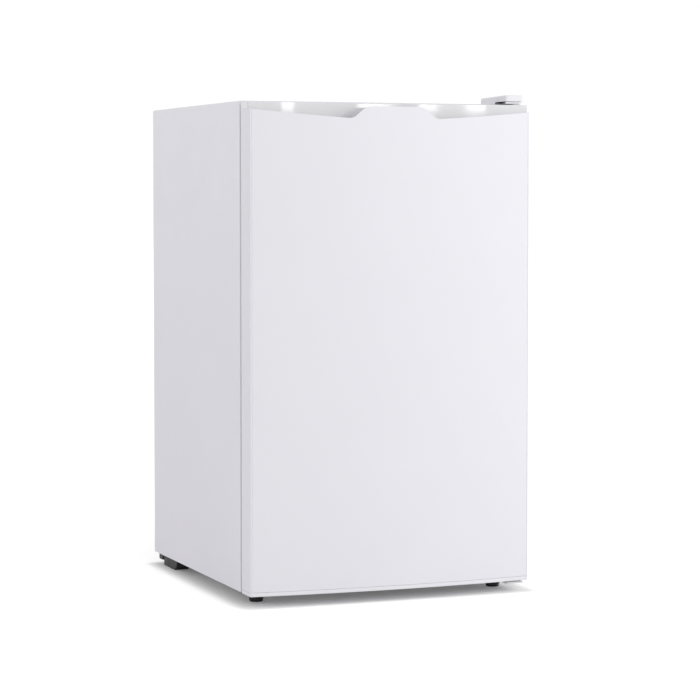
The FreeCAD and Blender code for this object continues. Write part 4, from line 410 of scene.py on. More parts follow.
def make_finish(name, base, rough, uneven=0.05, tone=0.03, patch=7.0, metallic=0.0, coat=0.0, clear=0.0,
                ior=1.5, sheen=0.0, grain=(1500.0, 0.02), ripple=None, streak=None, spangle=0.0,
                dust=0.0, tint=None, cells=0.0):
    """One surface finish.

    Colour drifts by tone over soft patches and leans to tint in their darker parts. Roughness drifts
    by uneven. grain and ripple are (scale, depth in mm) of fine and broad bumps, streak is the
    stretch of brush lines, spangle the contrast of zinc crystals, cells the contrast of foam cells,
    and dust the share of pale dust on faces that look up."""
    made = bpy.data.materials.new(name)
    made.use_nodes = True
    tree = made.node_tree
    shader = tree.nodes["Principled BSDF"]
    where = add(tree, "TexCoord").outputs["Object"]
    base = (*base, 1.0)
    darker = tuple(c * (1 - 2 * tone) for c in base[:3]) if tint is None else tint
    patches = noise(tree, where, patch)
    shade = mix_colour(tree, spread(tree, patches, 0.0, 1.0), (*darker, 1.0), base)
    smears = noise(tree, where, patch * 5.3, 4.0)
    roughness = spread(tree, smears, max(rough - uneven, 0.02), rough + uneven)
    bumps = []
    if streak:
        lines = noise(tree, where, 60.0, 5.0, streak)
        shade = mix_colour(tree, spread(tree, lines, 0.0, 0.35), shade, dimmed(base, 0.72))
        roughness = sum_of(tree, "ADD", roughness, spread(tree, lines, -0.06, 0.1))
        bumps.append((lines, 0.01))
    if spangle:
        crystals = add(tree, "TexVoronoi", {"Vector": where, "Scale": 95.0}, feature="F1").outputs["Color"]
        value = add(tree, "SeparateColor", {"Color": crystals}).outputs[0]
        shade = mix_colour(tree, sum_of(tree, "MULTIPLY", value, spangle), shade, dimmed(base, 0.55))
        roughness = sum_of(tree, "ADD", roughness, sum_of(tree, "MULTIPLY", value, 0.12))
    if cells:
        foam = add(tree, "TexVoronoi", {"Vector": where, "Scale": 420.0}, feature="DISTANCE_TO_EDGE")
        walls = add(tree, "MapRange", {"Value": foam.outputs["Distance"], "From Max": 0.25,
                                       "To Min": cells, "To Max": 0.0}).outputs["Result"]
        shade = mix_colour(tree, walls, shade, dimmed(base, 0.6))
        bumps.append((foam.outputs["Distance"], 0.3))
    if dust:
        normal = add(tree, "NewGeometry").outputs["Normal"]
        facing = add(tree, "SeparateXYZ", {"Vector": normal}).outputs["Z"]
        up = add(tree, "MapRange", {"Value": facing, "From Min": 0.55, "From Max": 1.0, "To Max": dust})
        specks = spread(tree, noise(tree, where, 140.0, 6.0), 0.35, 1.0)
        share = sum_of(tree, "MULTIPLY", up.outputs["Result"], specks)
        shade = mix_colour(tree, share, shade, (0.42, 0.40, 0.37, 1.0))
        roughness = sum_of(tree, "ADD", roughness, sum_of(tree, "MULTIPLY", share, 0.5))
    for size in (grain, ripple):
        if size:
            bumps.append((noise(tree, where, size[0], 2.0), size[1]))
    normal = None
    for height, depth in bumps:
        links = {"Height": height, "Distance": depth * MM, "Strength": 1.0}
        if normal is not None:
            links["Normal"] = normal
        normal = add(tree, "Bump", links).outputs["Normal"]
    tree.links.new(shade, shader.inputs["Base Color"])
    tree.links.new(roughness, shader.inputs["Roughness"])
    if normal is not None:
        tree.links.new(normal, shader.inputs["Normal"])
    shader.inputs["Metallic"].default_value = metallic
    shader.inputs["IOR"].default_value = ior
    shader.inputs["Coat Weight"].default_value = coat
    shader.inputs["Coat Roughness"].default_value = 0.06
    shader.inputs["Transmission Weight"].default_value = clear
    shader.inputs["Sheen Weight"].default_value = sheen
    return made


def finish_table():
    """What each finish of the part is made of, by the record's slot names."""
    colours = bpy.context.scene.fridge_colours
    door, cabinet, plastic = tuple(colours.door), tuple(colours.cabinet), tuple(colours.plastic)
    liner, clear, black = tuple(colours.liner), tuple(colours.clear), tuple(colours.black)
    recess = tuple(colours.recess)
    return {
        "door_paint": dict(base=door, rough=0.44, uneven=0.03, tone=0.006, grain=(900.0, 0.006),
                           ripple=(190.0, 0.010)),
        "cabinet_paint": dict(base=cabinet, rough=0.38, uneven=0.05, tone=0.012, patch=4.0,
                              grain=(1100.0, 0.01), ripple=(240.0, 0.012)),
        "hinge_paint": dict(base=plastic, rough=0.42, tone=0.02, grain=(900.0, 0.015)),
        "white_plastic": dict(base=plastic, rough=0.42, tone=0.012, grain=(2200.0, 0.012)),
        # Base darker than the other white plastic: partly the glossy cap's own white, partly painted shade in
        # the recess.
        "white_gloss_plastic": dict(base=recess, rough=0.08, uneven=0.02, tone=0.006, coat=0.8,
                                    grain=(700.0, 0.001), ripple=(60.0, 0.004)),
        "liner_plastic": dict(base=liner, rough=0.32, uneven=0.02, tone=0.004, patch=5.0,
                              grain=(1300.0, 0.004), ripple=(40.0, 0.008)),
        "rack_plastic": dict(base=clear, rough=0.14, uneven=0.03, tone=0.01, clear=0.62, ior=1.45,
                             grain=(500.0, 0.006)),
        "flap_plastic": dict(base=clear, rough=0.20, uneven=0.05, tone=0.02, clear=0.62, ior=1.45,
                             grain=(700.0, 0.02)),
        "tray_plastic": dict(base=clear, rough=0.16, uneven=0.05, tone=0.02, clear=0.72, ior=1.45,
                             grain=(700.0, 0.01)),
        "tray_plastic_black": dict(base=tuple(c * 2.2 for c in black), rough=0.55, uneven=0.08, tone=0.1,
                                   grain=(1600.0, 0.02), dust=0.35),
        "knob_plastic": dict(base=(0.70, 0.715, 0.735), rough=0.36, tone=0.02, grain=(2400.0, 0.012)),
        "lamp_cover_plastic": dict(base=(0.93, 0.95, 0.95), rough=0.30, uneven=0.08, tone=0.02, clear=0.75,
                                   ior=1.45, grain=(520.0, 0.05)),
        "bulb_glass": dict(base=(0.96, 0.95, 0.90), rough=0.22, clear=0.55, tone=0.02, grain=(600.0, 0.01)),
        "shelf_glass": dict(base=(0.90, 0.965, 0.945), rough=0.04, uneven=0.02, tone=0.01, clear=0.96,
                            ior=1.5, grain=(60.0, 0.004)),
        "foam": dict(base=(0.80, 0.71, 0.47), rough=0.9, tone=0.08, patch=20.0, cells=0.4,
                     grain=(1500.0, 0.08)),
        "gasket_vinyl": dict(base=(0.76, 0.765, 0.775), rough=0.5, tone=0.012, patch=14.0, sheen=0.15,
                             grain=(1800.0, 0.02)),
        "magnet_strip": dict(base=(0.10, 0.085, 0.075), rough=0.8, tone=0.1, grain=(1200.0, 0.04)),
        "grommet_rubber": dict(base=black, rough=0.75, tone=0.15, sheen=0.1, grain=(1400.0, 0.05), dust=0.3),
        "foot_plastic": dict(base=black, rough=0.46, uneven=0.08, tone=0.15, grain=(1700.0, 0.03)),
        "black_plastic": dict(base=black, rough=0.5, uneven=0.08, tone=0.12, grain=(1700.0, 0.03), dust=0.25),
        "bush_plastic": dict(base=(0.62, 0.62, 0.60), rough=0.4, tone=0.04, grain=(1900.0, 0.02)),
        "black_paint": dict(base=black, rough=0.34, uneven=0.07, tone=0.12, coat=0.15, grain=(900.0, 0.02),
                            ripple=(160.0, 0.04), dust=0.4),
        "zinc_sheet": dict(base=(0.60, 0.61, 0.62), rough=0.34, uneven=0.06, tone=0.04, metallic=1.0,
                           spangle=0.45, grain=(900.0, 0.008)),
        "bolt_steel": dict(base=(0.56, 0.56, 0.57), rough=0.30, uneven=0.08, tone=0.06, patch=60.0,
                           metallic=1.0, streak=(1.0, 1.0, 14.0), grain=(1500.0, 0.01)),
        "bar_chrome": dict(base=(0.82, 0.82, 0.84), rough=0.08, uneven=0.04, tone=0.02, patch=40.0,
                           metallic=1.0, grain=(400.0, 0.002)),
        "evaporator_aluminium": dict(base=(0.80, 0.81, 0.82), rough=0.33, uneven=0.08, tone=0.04, patch=12.0,
                                     metallic=1.0, streak=(0.05, 1.0, 1.0), grain=(700.0, 0.02)),
        "motor_iron": dict(base=(0.21, 0.21, 0.22), rough=0.6, metallic=1.0, tone=0.15, patch=30.0,
                           grain=(500.0, 0.1)),
        "copper": dict(base=(0.80, 0.40, 0.25), rough=0.28, uneven=0.1, tone=0.1, patch=22.0, metallic=1.0,
                       tint=(0.36, 0.19, 0.12), grain=(900.0, 0.01)),
    }


def material(slot):
    """The finish of a slot, made once, beside the frame's own plain material of that name."""
    name = slot + "_finish"
    if name not in bpy.data.materials:
        make_finish(name, **finish_table()[slot])
    return bpy.data.materials[name]


# ---- door outlines
def bow_circle(sizes):
    """Centre y and radius of the circle through the door's two side edges and its apex."""
    radius = (HALF ** 2 + sizes.door_bow ** 2) / (2 * sizes.door_bow)
    return DOOR_APEX + radius, radius


def bow_y(sizes, x, inset=0.0):
    """The door front at x: the bow's circle, turning into the corner's circle near the sides."""
    centre, radius = bow_circle(sizes)
    radius -= inset
    corner = max(sizes.door_corner - inset, 0.0005)
    corner_x = HALF - inset - corner
    corner_y = centre - math.sqrt((radius - corner) ** 2 - corner_x ** 2)
    y = centre - np.sqrt(radius ** 2 - np.minimum(x ** 2, radius ** 2))
    turn = corner_y - np.sqrt(np.clip(corner ** 2 - np.clip(np.abs(x) - corner_x, 0, corner) ** 2, 0, None))
    touch = corner_x * radius / (radius - corner)
    return np.where(np.abs(x) > touch, turn, y)


def door_half(sizes, inset, front, corner_y):
    """Right half of the door's plan, from the front's middle to the back's: front curve, front
    corner arc, side and rear corner arc."""
    back = DOOR_BACK - inset
    rear = max(sizes.rear_corner - inset, 0.0004)
    corner = max(sizes.door_corner - inset, 0.0004)
    half = HALF - inset
    front_corner = arc((half - corner, corner_y), corner, front[1], 0, 10)
    side = np.column_stack([np.full(5, half), np.linspace(corner_y, back - rear, 7)[1:-1]])
    rear_corner = arc((half - rear, back - rear), rear, 0, math.pi / 2, 8)
    return np.concatenate([front[0], front_corner, side, rear_corner])


def front_stations(limit):
    """Places across half the front, closer together where the pull tab's edges turn."""
    return np.unique(np.concatenate([np.linspace(0, limit, 70), np.linspace(44 * MM, 84 * MM, 60)]))


def crease_depth(sizes, x):
    """Depth of the pressed line at x: a bell curve, 1 mm wide at its waist, near each side."""
    return sizes.crease * np.exp(-(((np.abs(x) - (HALF - sizes.door_corner - 0.9 * MM)) / (0.7 * MM)) ** 2))


def whole(half_plan):
    """A plan from its right half, anticlockwise, from the left end round the front to the right."""
    left = half_plan[half_plan[:, 0] > 1e-6][::-1] * np.array([-1, 1])
    return np.concatenate([left, half_plan])


def door_plan(sizes, inset=0.0, creased=False):
    """The door's outline from above: bowed front, rounded corners, flat back."""
    centre, radius = bow_circle(sizes)
    radius -= inset
    corner = max(sizes.door_corner - inset, 0.0004)
    corner_x = HALF - inset - corner
    corner_y = centre - math.sqrt((radius - corner) ** 2 - corner_x ** 2)
    limit = corner_x * radius / (radius - corner)
    x = front_stations(limit)
    if creased:
        x = np.unique(np.concatenate([x, np.linspace(limit - 4.5 * MM, limit, 20)]))
    y = centre - np.sqrt(radius ** 2 - x ** 2) + (crease_depth(sizes, x) if creased else 0)
    front = np.column_stack([x, y])
    return whole(door_half(sizes, inset, (front, math.atan2(corner_y - centre, corner_x)), corner_y))


def recess_y(sizes, x, inset=0.0):
    """The recess wall at x: flat at both ends, a smooth step deeper in the middle."""
    end = DOOR_APEX + sizes.door_bow + sizes.wall_setback + inset
    step_start, step_run = 207 * MM, 162 * MM
    return end + sizes.wall_dip * blend01((step_start - np.abs(x)) / step_run)


def recess_plan(sizes, inset=0.0):
    """The door's outline at the recess, where the front is the recess wall."""
    corner = max(sizes.door_corner - inset, 0.0004)
    limit = HALF - inset - corner
    x = front_stations(limit)
    front = np.column_stack([x, recess_y(sizes, x, inset)])
    corner_y = float(recess_y(sizes, np.array(limit), inset)) + corner
    return whole(door_half(sizes, inset, (front, -math.pi / 2), corner_y))


def skin_top(sizes, x):
    """Height of the skin's upper edge at x: a shallow sagging scoop, then the tab's flank and top."""
    side = HIGH["door_top_cap"][2] - CAP_STEP
    foot = side - sizes.scoop_fall
    top = foot + sizes.tab_rise
    middle = (HALF + sizes.tab_half_foot) / 2
    points = [(0, top), (sizes.tab_half_top, top), (sizes.tab_half_foot, foot),
              (middle, (side + foot) / 2 - 0.9 * MM), (HALF, side)]
    edge = rounded(points, [0, 26 * MM, 20 * MM, 2.0, 0], closed=False, count=16)
    order = np.argsort(edge[:, 0])
    return np.interp(np.abs(x), edge[order, 0], edge[order, 1])


def pocket_floor(sizes, x):
    """Height of the finger pocket's floor at x: level in the middle, rising smoothly to the sides."""
    top = HIGH["door_top_cap"][2]
    low, end = top - sizes.pocket_depth, top - sizes.pocket_end
    level = 70 * MM
    return low + (end - low) * blend01((np.abs(x) - level) / (HALF - level))


# ---- door pieces
def build_door_skin(sizes):
    """Point = plan outline moved in by inset, at bottom + share x (edge height - bottom) + lift."""
    bottom = LOW["door_skin"][2]
    steel = sizes.steel
    section = [(0, 0, 0.35), (0, 0.2, 0), (0, 0.4, 0), (0, 0.6, 0), (0, 0.8, 0), (0, 0.97, 0),
               (0, 1, -0.35), (0.1, 1, -0.1), (0.35, 1, 0), (0.7, 1, -0.1), (1, 1, -0.4), (1, 0.5, 0),
               (1, 0, 0.35), (0.5, 0, 0)]
    columns = []
    for inset, share, lift in section:
        inset = inset * (steel if inset == 1 else MM)
        plan = door_plan(sizes, inset, creased=True)
        behind = plan[:, 1] > DOOR_BACK - inset - 0.1 * MM
        plan = plan[~(behind & (np.abs(plan[:, 0]) < HALF - sizes.skin_return))]
        ends = np.array([[HALF - sizes.skin_return, DOOR_BACK - inset]])
        plan = np.concatenate([ends * [-1, 1], plan, ends])
        height = bottom + share * (skin_top(sizes, plan[:, 0]) - bottom) + lift * MM
        columns.append(np.column_stack([plan, height]))
    piece("door_front", [np.stack(columns, 1)], "door", "door_paint", "door_skin", angle=50)


def build_door_top_cap(sizes):
    """Upper body: the recess outline lifted through a soft-edged profile. Trough: at each x a closed
    section from the lip behind the skin down to the pocket floor and back under it."""
    top = HIGH["door_top_cap"][2]
    side_top = top - CAP_STEP
    base = top - sizes.pocket_depth - 3 * MM
    body = []
    for inset, height, tucked in ((0, base, 1), (0, side_top - 0.3 * MM, 1), (0, side_top, 0.3),
                                  (0, side_top + 0.3 * MM, 0)):
        plan = recess_plan(sizes, inset)
        hidden = blend01((plan[:, 1] - (DOOR_APEX + sizes.door_bow + sizes.wall_setback + 3 * MM)) / (3 * MM))
        outward = np.column_stack([np.sign(plan[:, 0]) * (np.abs(plan[:, 0]) > HALF - 6 * MM),
                                   plan[:, 1] > DOOR_BACK - 4 * MM])
        plan = plan - outward * (hidden * tucked * (sizes.steel + 0.3 * MM))[:, None]
        body.append(np.column_stack([plan, np.full(len(plan), height)]))
    for inset, height in edge_profile(side_top + 0.4 * MM, top, sizes.edge)[5:]:
        plan = recess_plan(sizes, inset)
        body.append(np.column_stack([plan, np.full(len(plan), height)]))
    inner = sizes.steel + 0.02 * MM
    x = np.linspace(-(HALF - inner - 0.1 * MM), HALF - inner - 0.1 * MM, 260)
    x = np.unique(np.concatenate([x, -front_stations(0.2), front_stations(0.2)]))
    outer_y, inner_y = bow_y(sizes, x, inner), bow_y(sizes, x, sizes.steel + sizes.lip)
    inner_y = np.maximum(inner_y, outer_y + 0.4 * MM)
    wall = recess_y(sizes, x) + 0.5 * MM
    wall = np.where(np.abs(x) > HALF - sizes.door_corner, wall + sizes.door_corner, wall)
    inner_y = np.minimum(inner_y, wall - 0.2 * MM)
    floor = pocket_floor(sizes, x)
    edge = np.maximum(skin_top(sizes, x) - 0.25 * MM, floor + 0.3 * MM)
    soft = np.minimum(4 * MM, (edge - floor) * 0.45)
    run = wall - inner_y
    section = [(outer_y, edge - 0.5 * MM), (outer_y + 0.15 * MM, edge - 0.1 * MM),
               (outer_y + 0.5 * MM, edge), (inner_y - 0.5 * MM, edge),
               (inner_y - 0.15 * MM, edge - 0.15 * MM), (inner_y, edge - 0.6 * MM),
               (inner_y, floor + soft), (inner_y + soft * 0.12, floor + soft * 0.5),
               (inner_y + np.minimum(soft, run) * 0.45, floor + soft * 0.14),
               (inner_y + np.minimum(soft, run), floor), (wall, floor), (wall, floor - 3 * MM),
               (outer_y, floor - 3 * MM)]
    trough = np.stack([np.stack([x, y, z], -1) for y, z in section], 1)
    piece("door_top_recess", [np.stack(body), trough], "door", "white_gloss_plastic", "door_top_cap",
          angle=60)


def build_door_bottom_cap(sizes):
    """The door's outline lifted through a soft-edged profile, with a shadow step under the skin."""
    low, seam = LOW["door_bottom_cap"][2], LOW["door_skin"][2]
    profile = list(map(tuple, edge_profile(low, seam - 0.25 * MM, 1.4 * MM, count=6)[:6]))
    profile += [(0, seam - 0.5 * MM), (0.25 * MM, seam - 0.2 * MM), (1.1 * MM, seam - 0.2 * MM),
                (1.1 * MM, seam + 8 * MM)]
    piece("door_bottom_trim", [stack(lambda inset: door_plan(sizes, inset), profile)], "door",
          "white_plastic", "door_bottom_cap", angle=45)


def build_door_liner(sizes):
    """Plate with an embossed field, and the raised rib: rounded rectangles moved in and carried from
    the plate to the rib's crown and back."""
    low, high = LOW["door_liner"], HIGH["door_liner"]
    plate = low[1]
    face = plate + 1.6 * MM
    crown = high[1]
    outer = 200 * MM
    rib_low, rib_high = 76 * MM, 772 * MM
    width = sizes.rib_width
    loop = inset_box((-outer, rib_low), (outer, rib_high), 14 * MM, count=9)
    soft = 4.5 * MM
    turn = np.linspace(0, math.pi / 2, 6)
    lean = 1.2 * MM
    profile = [(0, face - 0.6 * MM), (0.3 * MM, face + 1 * MM)]
    profile += [(lean + soft * (1 - math.cos(a)), crown - soft * (1 - math.sin(a))) for a in turn]
    profile += [(width - lean - soft * (1 - math.sin(a)), crown - soft * (1 - math.cos(a))) for a in turn]
    profile += [(width - 0.3 * MM, face + 1 * MM), (width, face - 0.6 * MM)]
    rib = stack(loop, profile + profile[:1], "xzy")
    sheet = block((low[0], plate, low[2]), (high[0], face, high[2]), 3 * MM, 0.3 * MM, "xzy")
    field = inset_box((-150 * MM, 125 * MM), (150 * MM, 726 * MM), 10 * MM)
    panel = stack(field, [(0, face - 0.4 * MM), (0, face), (0.3 * MM, face + 0.5 * MM),
                          (1 * MM, face + 0.8 * MM)], "xzy")
    shapes = [(rib, False), sheet, panel]
    for node in ("bottle_rack", "middle_rack", "upper_rack"):
        bottom = LOW[node][2]
        boss = block((HIGH[node][0] - 12 * MM, face - 0.5 * MM, bottom - 8 * MM),
                     (outer - width + 1.5 * MM, crown - 6 * MM, bottom - 0.05 * MM),
                     2 * MM, 0.8 * MM, "xzy")
        shapes += [boss, mirrored(boss)]
    piece("door_inner_panel", shapes, "door", "liner_plastic", "door_liner")


def build_gasket(sizes):
    """A bellows section carried round a rounded rectangle: a soft bead against the cabinet over two
    folds and a flat foot against the door."""
    low, high = LOW["door_gasket"], HIGH["door_gasket"]
    width = sizes.gasket_width
    back, front = low[1], high[1]
    deep = front - back
    section = [(0.5, 0), (0, 0.06), (0, 0.2), (0.8, 0.3), (1.7, 0.36), (0.7, 0.46), (0.25, 0.58), (0.5, 0.84),
               (1.4, 0.97), (3.0, 1.0), (4.4, 0.93), (5.4, 0.9), (7.0, 0.97), (9.0, 1.0), (10.6, 0.96),
               (12.2, 0.9), (13.3, 0.8), (13.8, 0.62), (13.2, 0.46), (12.2, 0.36), (13.2, 0.3), (14, 0.2),
               (14, 0.06), (13.5, 0)]
    drawn_width = 14 * MM
    loop = inset_box((-high[0], low[2]), (high[0], high[2]), 8 * MM, count=9)
    profile = [(a * MM * width / drawn_width, back + b * deep) for a, b in section]
    piece("door_seal", [(stack(loop, profile + profile[:1], "xzy"), False)], "door", "gasket_vinyl",
          "door_gasket", angle=65)


def build_racks(sizes):
    """Thin open trays: the outline lifted up the outside, over the rim and down the inside. The rim's
    height falls towards the front, and the walls lean in a little towards the floor."""
    for node in ("bottle_rack", "middle_rack", "upper_rack"):
        low, high = LOW[node], HIGH[node]
        tall = high[2] - low[2]
        wall = sizes.rack_wall
        level = low[1] + 20 * MM
        fall = 0.45

        def corners(inset):
            a, b = high[0] - inset, high[1] - inset
            bend = max(10 * MM - inset, 2 * MM)
            return rounded([(-a, low[1] + inset), (a, low[1] + inset), (a, b), (-a, b)],
                           [1 * MM, 1 * MM, bend, bend], count=9)

        loop = refined(corners, 6 * MM)

        def ring(inset, share, lift=0.0):
            plan = loop(inset)
            rim = low[2] + tall * (1 - fall * np.clip((plan[:, 1] - level) / (high[1] - level), 0, 1))
            return np.column_stack([plan, low[2] + share * (rim - low[2]) + lift])

        rings = [ring(7 * MM, 0), ring(2.2 * MM, 0), ring(0.9 * MM, 0, 0.5 * MM), ring(0.4 * MM, 0, 2 * MM),
                 ring(0.2 * MM, 0.5), ring(0, 1, -2.2 * MM), ring(0, 1, -0.5 * MM),
                 ring(0.3 * MM, 1, -0.1 * MM), ring(1 * MM, 1), ring(1.7 * MM, 1, -0.1 * MM),
                 ring(wall, 1, -0.5 * MM), ring(wall, 0.5),
                 ring(wall + 0.2 * MM, 0, wall + 3 * MM), ring(wall + 1 * MM, 0, wall + 0.6 * MM),
                 ring(wall + 2.4 * MM, 0, wall), ring(wall + 6 * MM, 0, wall)]
        shapes = [np.stack(rings)]
        count = 9 if node == "bottle_rack" else 13
        for i in range(count):
            x = (i - (count - 1) / 2) * 2 * (high[0] - 20 * MM) / (count - 1)
            shapes.append(block((x - 1 * MM, low[1] + 8 * MM, low[2] + wall - 0.2 * MM),
                                (x + 1 * MM, high[1] - 8 * MM, low[2] + wall + 1.2 * MM),
                                0.9 * MM, 0.5 * MM))
        bead_half = high[0] - 14 * MM
        for share in (0.45, 0.7):
            height = low[2] + tall * (1 - fall) * share
            ends = [[side * bead_half, high[1] - 0.65 * MM, height] for side in (-1, 1)]
            shapes.append(rod(ends, 0.7 * MM, 10))
        piece(node + "_tray", shapes, "door", "rack_plastic", node, angle=50)


def build_bottle_bar(sizes):
    """The round bar along X keeps its shape and shades round."""
    softened("bottle_bar", angle=40, name="bottle_rail")


def build_bushes(sizes):
    """The flanged hinge bushes keep their shapes, with softened edges."""
    softened("hinge_bushes", 0.3 * MM, 35)


# ---- cabinet pieces
def build_outer_shell(sizes):
    """A folded C section (returned front edge, side, returned rear edge) carried up the left side,
    over the top and down the right: each ring is the fold path moved in by the section's inset."""
    steel, soft = sizes.steel, 1.0 * MM
    quarter = np.linspace(0, math.pi / 2, 5)
    section = [(sizes.front_return, FRONT)]
    section += [(soft * (1 - math.sin(a)), FRONT + soft * (1 - math.cos(a))) for a in quarter]
    section += [(0, FRONT + (REAR - FRONT) * share) for share in (0.25, 0.5, 0.75)]
    section += [(soft * (1 - math.cos(a)), REAR - soft * (1 - math.sin(a))) for a in quarter]
    section += [(sizes.rear_return, REAR), (sizes.rear_return, REAR - steel), (steel, REAR - steel),
                (steel, FRONT + steel), (sizes.front_return, FRONT + steel)]

    def fold_path(inset):
        bend = max(sizes.fold - inset, 0)
        half, top = HALF - inset, CABINET_TOP - inset
        foot = HALF - min(inset, steel)
        lip = UNDERSIDE + sizes.front_return
        side = [(half, top * 0.6), (half, lip + 0.1 * MM), (foot, lip), (foot, UNDERSIDE)]
        right = np.concatenate([arc((half - bend, top - bend), bend, math.pi / 2, 0, 9), side])
        return np.concatenate([right[::-1] * [-1, 1], right])

    rings = np.stack([np.column_stack([p[:, 0], np.full(len(p), y), p[:, 1]])
                      for p, y in ((fold_path(d), y) for d, y in section)], 1)
    piece("cabinet_sheet", [rings], "cabinet", "cabinet_paint", "outer_shell", angle=50)


def build_hinge_cover(sizes):
    """A thin cap: the rounded outline from the inside's top down, round the skirt and up over soft
    edges. Its top slopes to the rear and its skirt is lifted over the door."""
    low, high = LOW["hinge_cover"], HIGH["hinge_cover"]
    wall = 1.8 * MM
    step = FRONT + 6.5 * MM

    loop = refined(lambda inset: rectangle(low[0] + inset, high[0] - inset, low[1] + inset, high[1] - inset,
                                           max(3.5 * MM - inset, 0.6 * MM), 9), 3 * MM)

    def ring(inset, drop=None, skirt=None):
        plan = loop(inset)
        slope = high[2] - 2 * MM * (plan[:, 1] - low[1]) / (high[1] - low[1])
        foot = np.where(plan[:, 1] < step, CABINET_TOP + 3.7 * MM, CABINET_TOP + 0.05 * MM)
        return np.column_stack([plan, slope - drop if skirt is None else foot + skirt])

    soft = 2.6 * MM
    quarter = np.linspace(0, math.pi / 2, 7)
    rings = [ring(wall + 2 * MM, wall), ring(wall, wall + 1 * MM), ring(wall, skirt=0.3 * MM),
             ring(wall - 0.3 * MM, skirt=0), ring(0.3 * MM, skirt=0), ring(0, skirt=0.3 * MM)]
    rings += [ring(soft * (1 - math.cos(a)), soft * (1 - math.sin(a))) for a in quarter]
    rings += [ring(5 * MM, -0.15 * MM), ring(9 * MM, -0.22 * MM)]
    piece("hinge_cap", [np.stack(rings)], "cabinet", "white_plastic", "hinge_cover", angle=42)


def build_screws(sizes):
    """Pan heads whose face is a dome with a cross recess: height = dome(r) - depth where the point
    lies in either arm of the cross. Condenser screws use the same head, turned to face the rear."""
    def head(centre, radius, tall, axis, sign):
        """One head on its base circle: rings of shrinking radius r carried up the dome."""
        r = np.linspace(1, 0.04, 11)[:, None]
        a = np.linspace(0, 2 * math.pi, 40, endpoint=False)[None]
        x, y = r * np.cos(a), r * np.sin(a)
        wide, reach = 0.16, 0.55
        arm = (np.maximum(1 - np.abs(x) / wide, 0) * (np.abs(y) < reach)
               + np.maximum(1 - np.abs(y) / wide, 0) * (np.abs(x) < reach))
        dome = tall * (1 - 0.45 * r ** 2) - tall * 0.55 * np.clip(arm * 2.5, 0, 1)
        top = np.stack([radius * x, radius * y, dome], -1)
        foot = np.stack([radius * x[:1], radius * y[:1], np.zeros((1, 40))], -1)
        rings = np.concatenate([foot, top])
        order = {"z": [0, 1, 2], "y": [1, 2, 0]}[axis]
        turned = rings[..., order]
        turned[..., "xyz".index(axis)] *= sign
        return turned + np.asarray(centre)

    shapes = []
    for island in islands("hinge_screws"):
        up = 1 if island[:, 2].mean() > CABINET_TOP / 2 else -1
        end = island[:, 2].max() if up > 0 else island[:, 2].min()
        centre = (island.min(0) + island.max(0)) / 2
        shapes.append(head((*centre[:2], end - 2.5 * MM * up), 4.5 * MM, 2.5 * MM, "z", up))
    piece("hinge_screw_heads", shapes, "cabinet", "bolt_steel", "hinge_screws", angle=35)
    shapes = []
    for island in islands("condenser_screws"):
        centre = (island.min(0) + island.max(0)) / 2
        shapes.append(head((centre[0], island[:, 1].max() - 2 * MM, centre[2]), 3 * MM, 2 * MM, "y", 1))
    piece("condenser_screw_heads", shapes, "cabinet", "bolt_steel", "condenser_screws", angle=35)


def islands(node):
    """The separate solids of a CAD node, as arrays of their corner points."""
    work = bmesh.new()
    work.from_mesh(frame["nodes"][node].data)
    bmesh.ops.remove_doubles(work, verts=work.verts, dist=5e-6)
    found, seen = [], set()
    for start in work.verts:
        if start in seen:
            continue
        group, edge = {start}, [start]
        while edge:
            reached = {e.other_vert(v) for v in edge for e in v.link_edges} - group
            group |= reached
            edge = list(reached)
        seen |= group
        found.append(np.array([v.co for v in group]))
    work.free()
    return found


def build_feet(sizes):
    """Front feet: a tapered base with a ribbed collar, turned about its stud. The collar's radius
    swells with the cosine of many turns for its grip ribs."""
    ribs = lambda angle: 1 + 0.018 * np.cos(angle * 24)
    for side in ("left", "right"):
        centre = (*CENTRE[side + "_foot_pad"][:2], 0)
        pad = [(0.3, 0.6), (8.6, 0.6), (9.5, 0.0), (10.4, 0.25), (11.0, 1.1), (13.1, 9.3), (13.3, 10.2)]
        collar = [(13.25, 10.2), (13.25, 13.0), (12.6, 13.8), (5.4, 14.0), (5.2, 13.4), (0.3, 13.4)]
        shapes = [lathe(np.array(pad + [(12.9, 10.4), (0.3, 10.4)]) * MM, centre, count=64),
                  lathe(np.array([(0.3, 10.0), (13.0, 10.0)] + collar) * MM, centre, count=144,
                        radius_at=ribs)]
        piece(side + "_foot_base", shapes, side + "_foot", "foot_plastic", side + "_foot_pad", angle=35)
        top = HIGH[side + "_foot_stud"][2] / MM
        pitch = 1.25
        turns = np.arange(14.2, top - 1.2, pitch / 4)
        thread = np.column_stack([3.72 + 0.26 * np.cos(turns * 2 * math.pi / pitch), turns])
        stud = np.concatenate([[(0.2, 13.5), (3.9, 13.5)], thread, [(3.2, top - 0.2), (0.2, top)]])
        piece(side + "_foot_screw", [lathe(stud * MM, centre, count=28)], side + "_foot", "bolt_steel",
              side + "_foot_stud", angle=60)


# ---- food space
def build_shelves(sizes):
    """Float glass plates with polished pencil edges."""
    for node in ("lower_shelf_glass", "upper_shelf_glass"):
        low, high = LOW[node], HIGH[node]
        piece(node.replace("_glass", "_plate"), [block(low, high, 6 * MM, 0.9 * MM)], "cabinet",
              "shelf_glass", node, angle=60)
    softened("shelf_trims", 0.5 * MM)


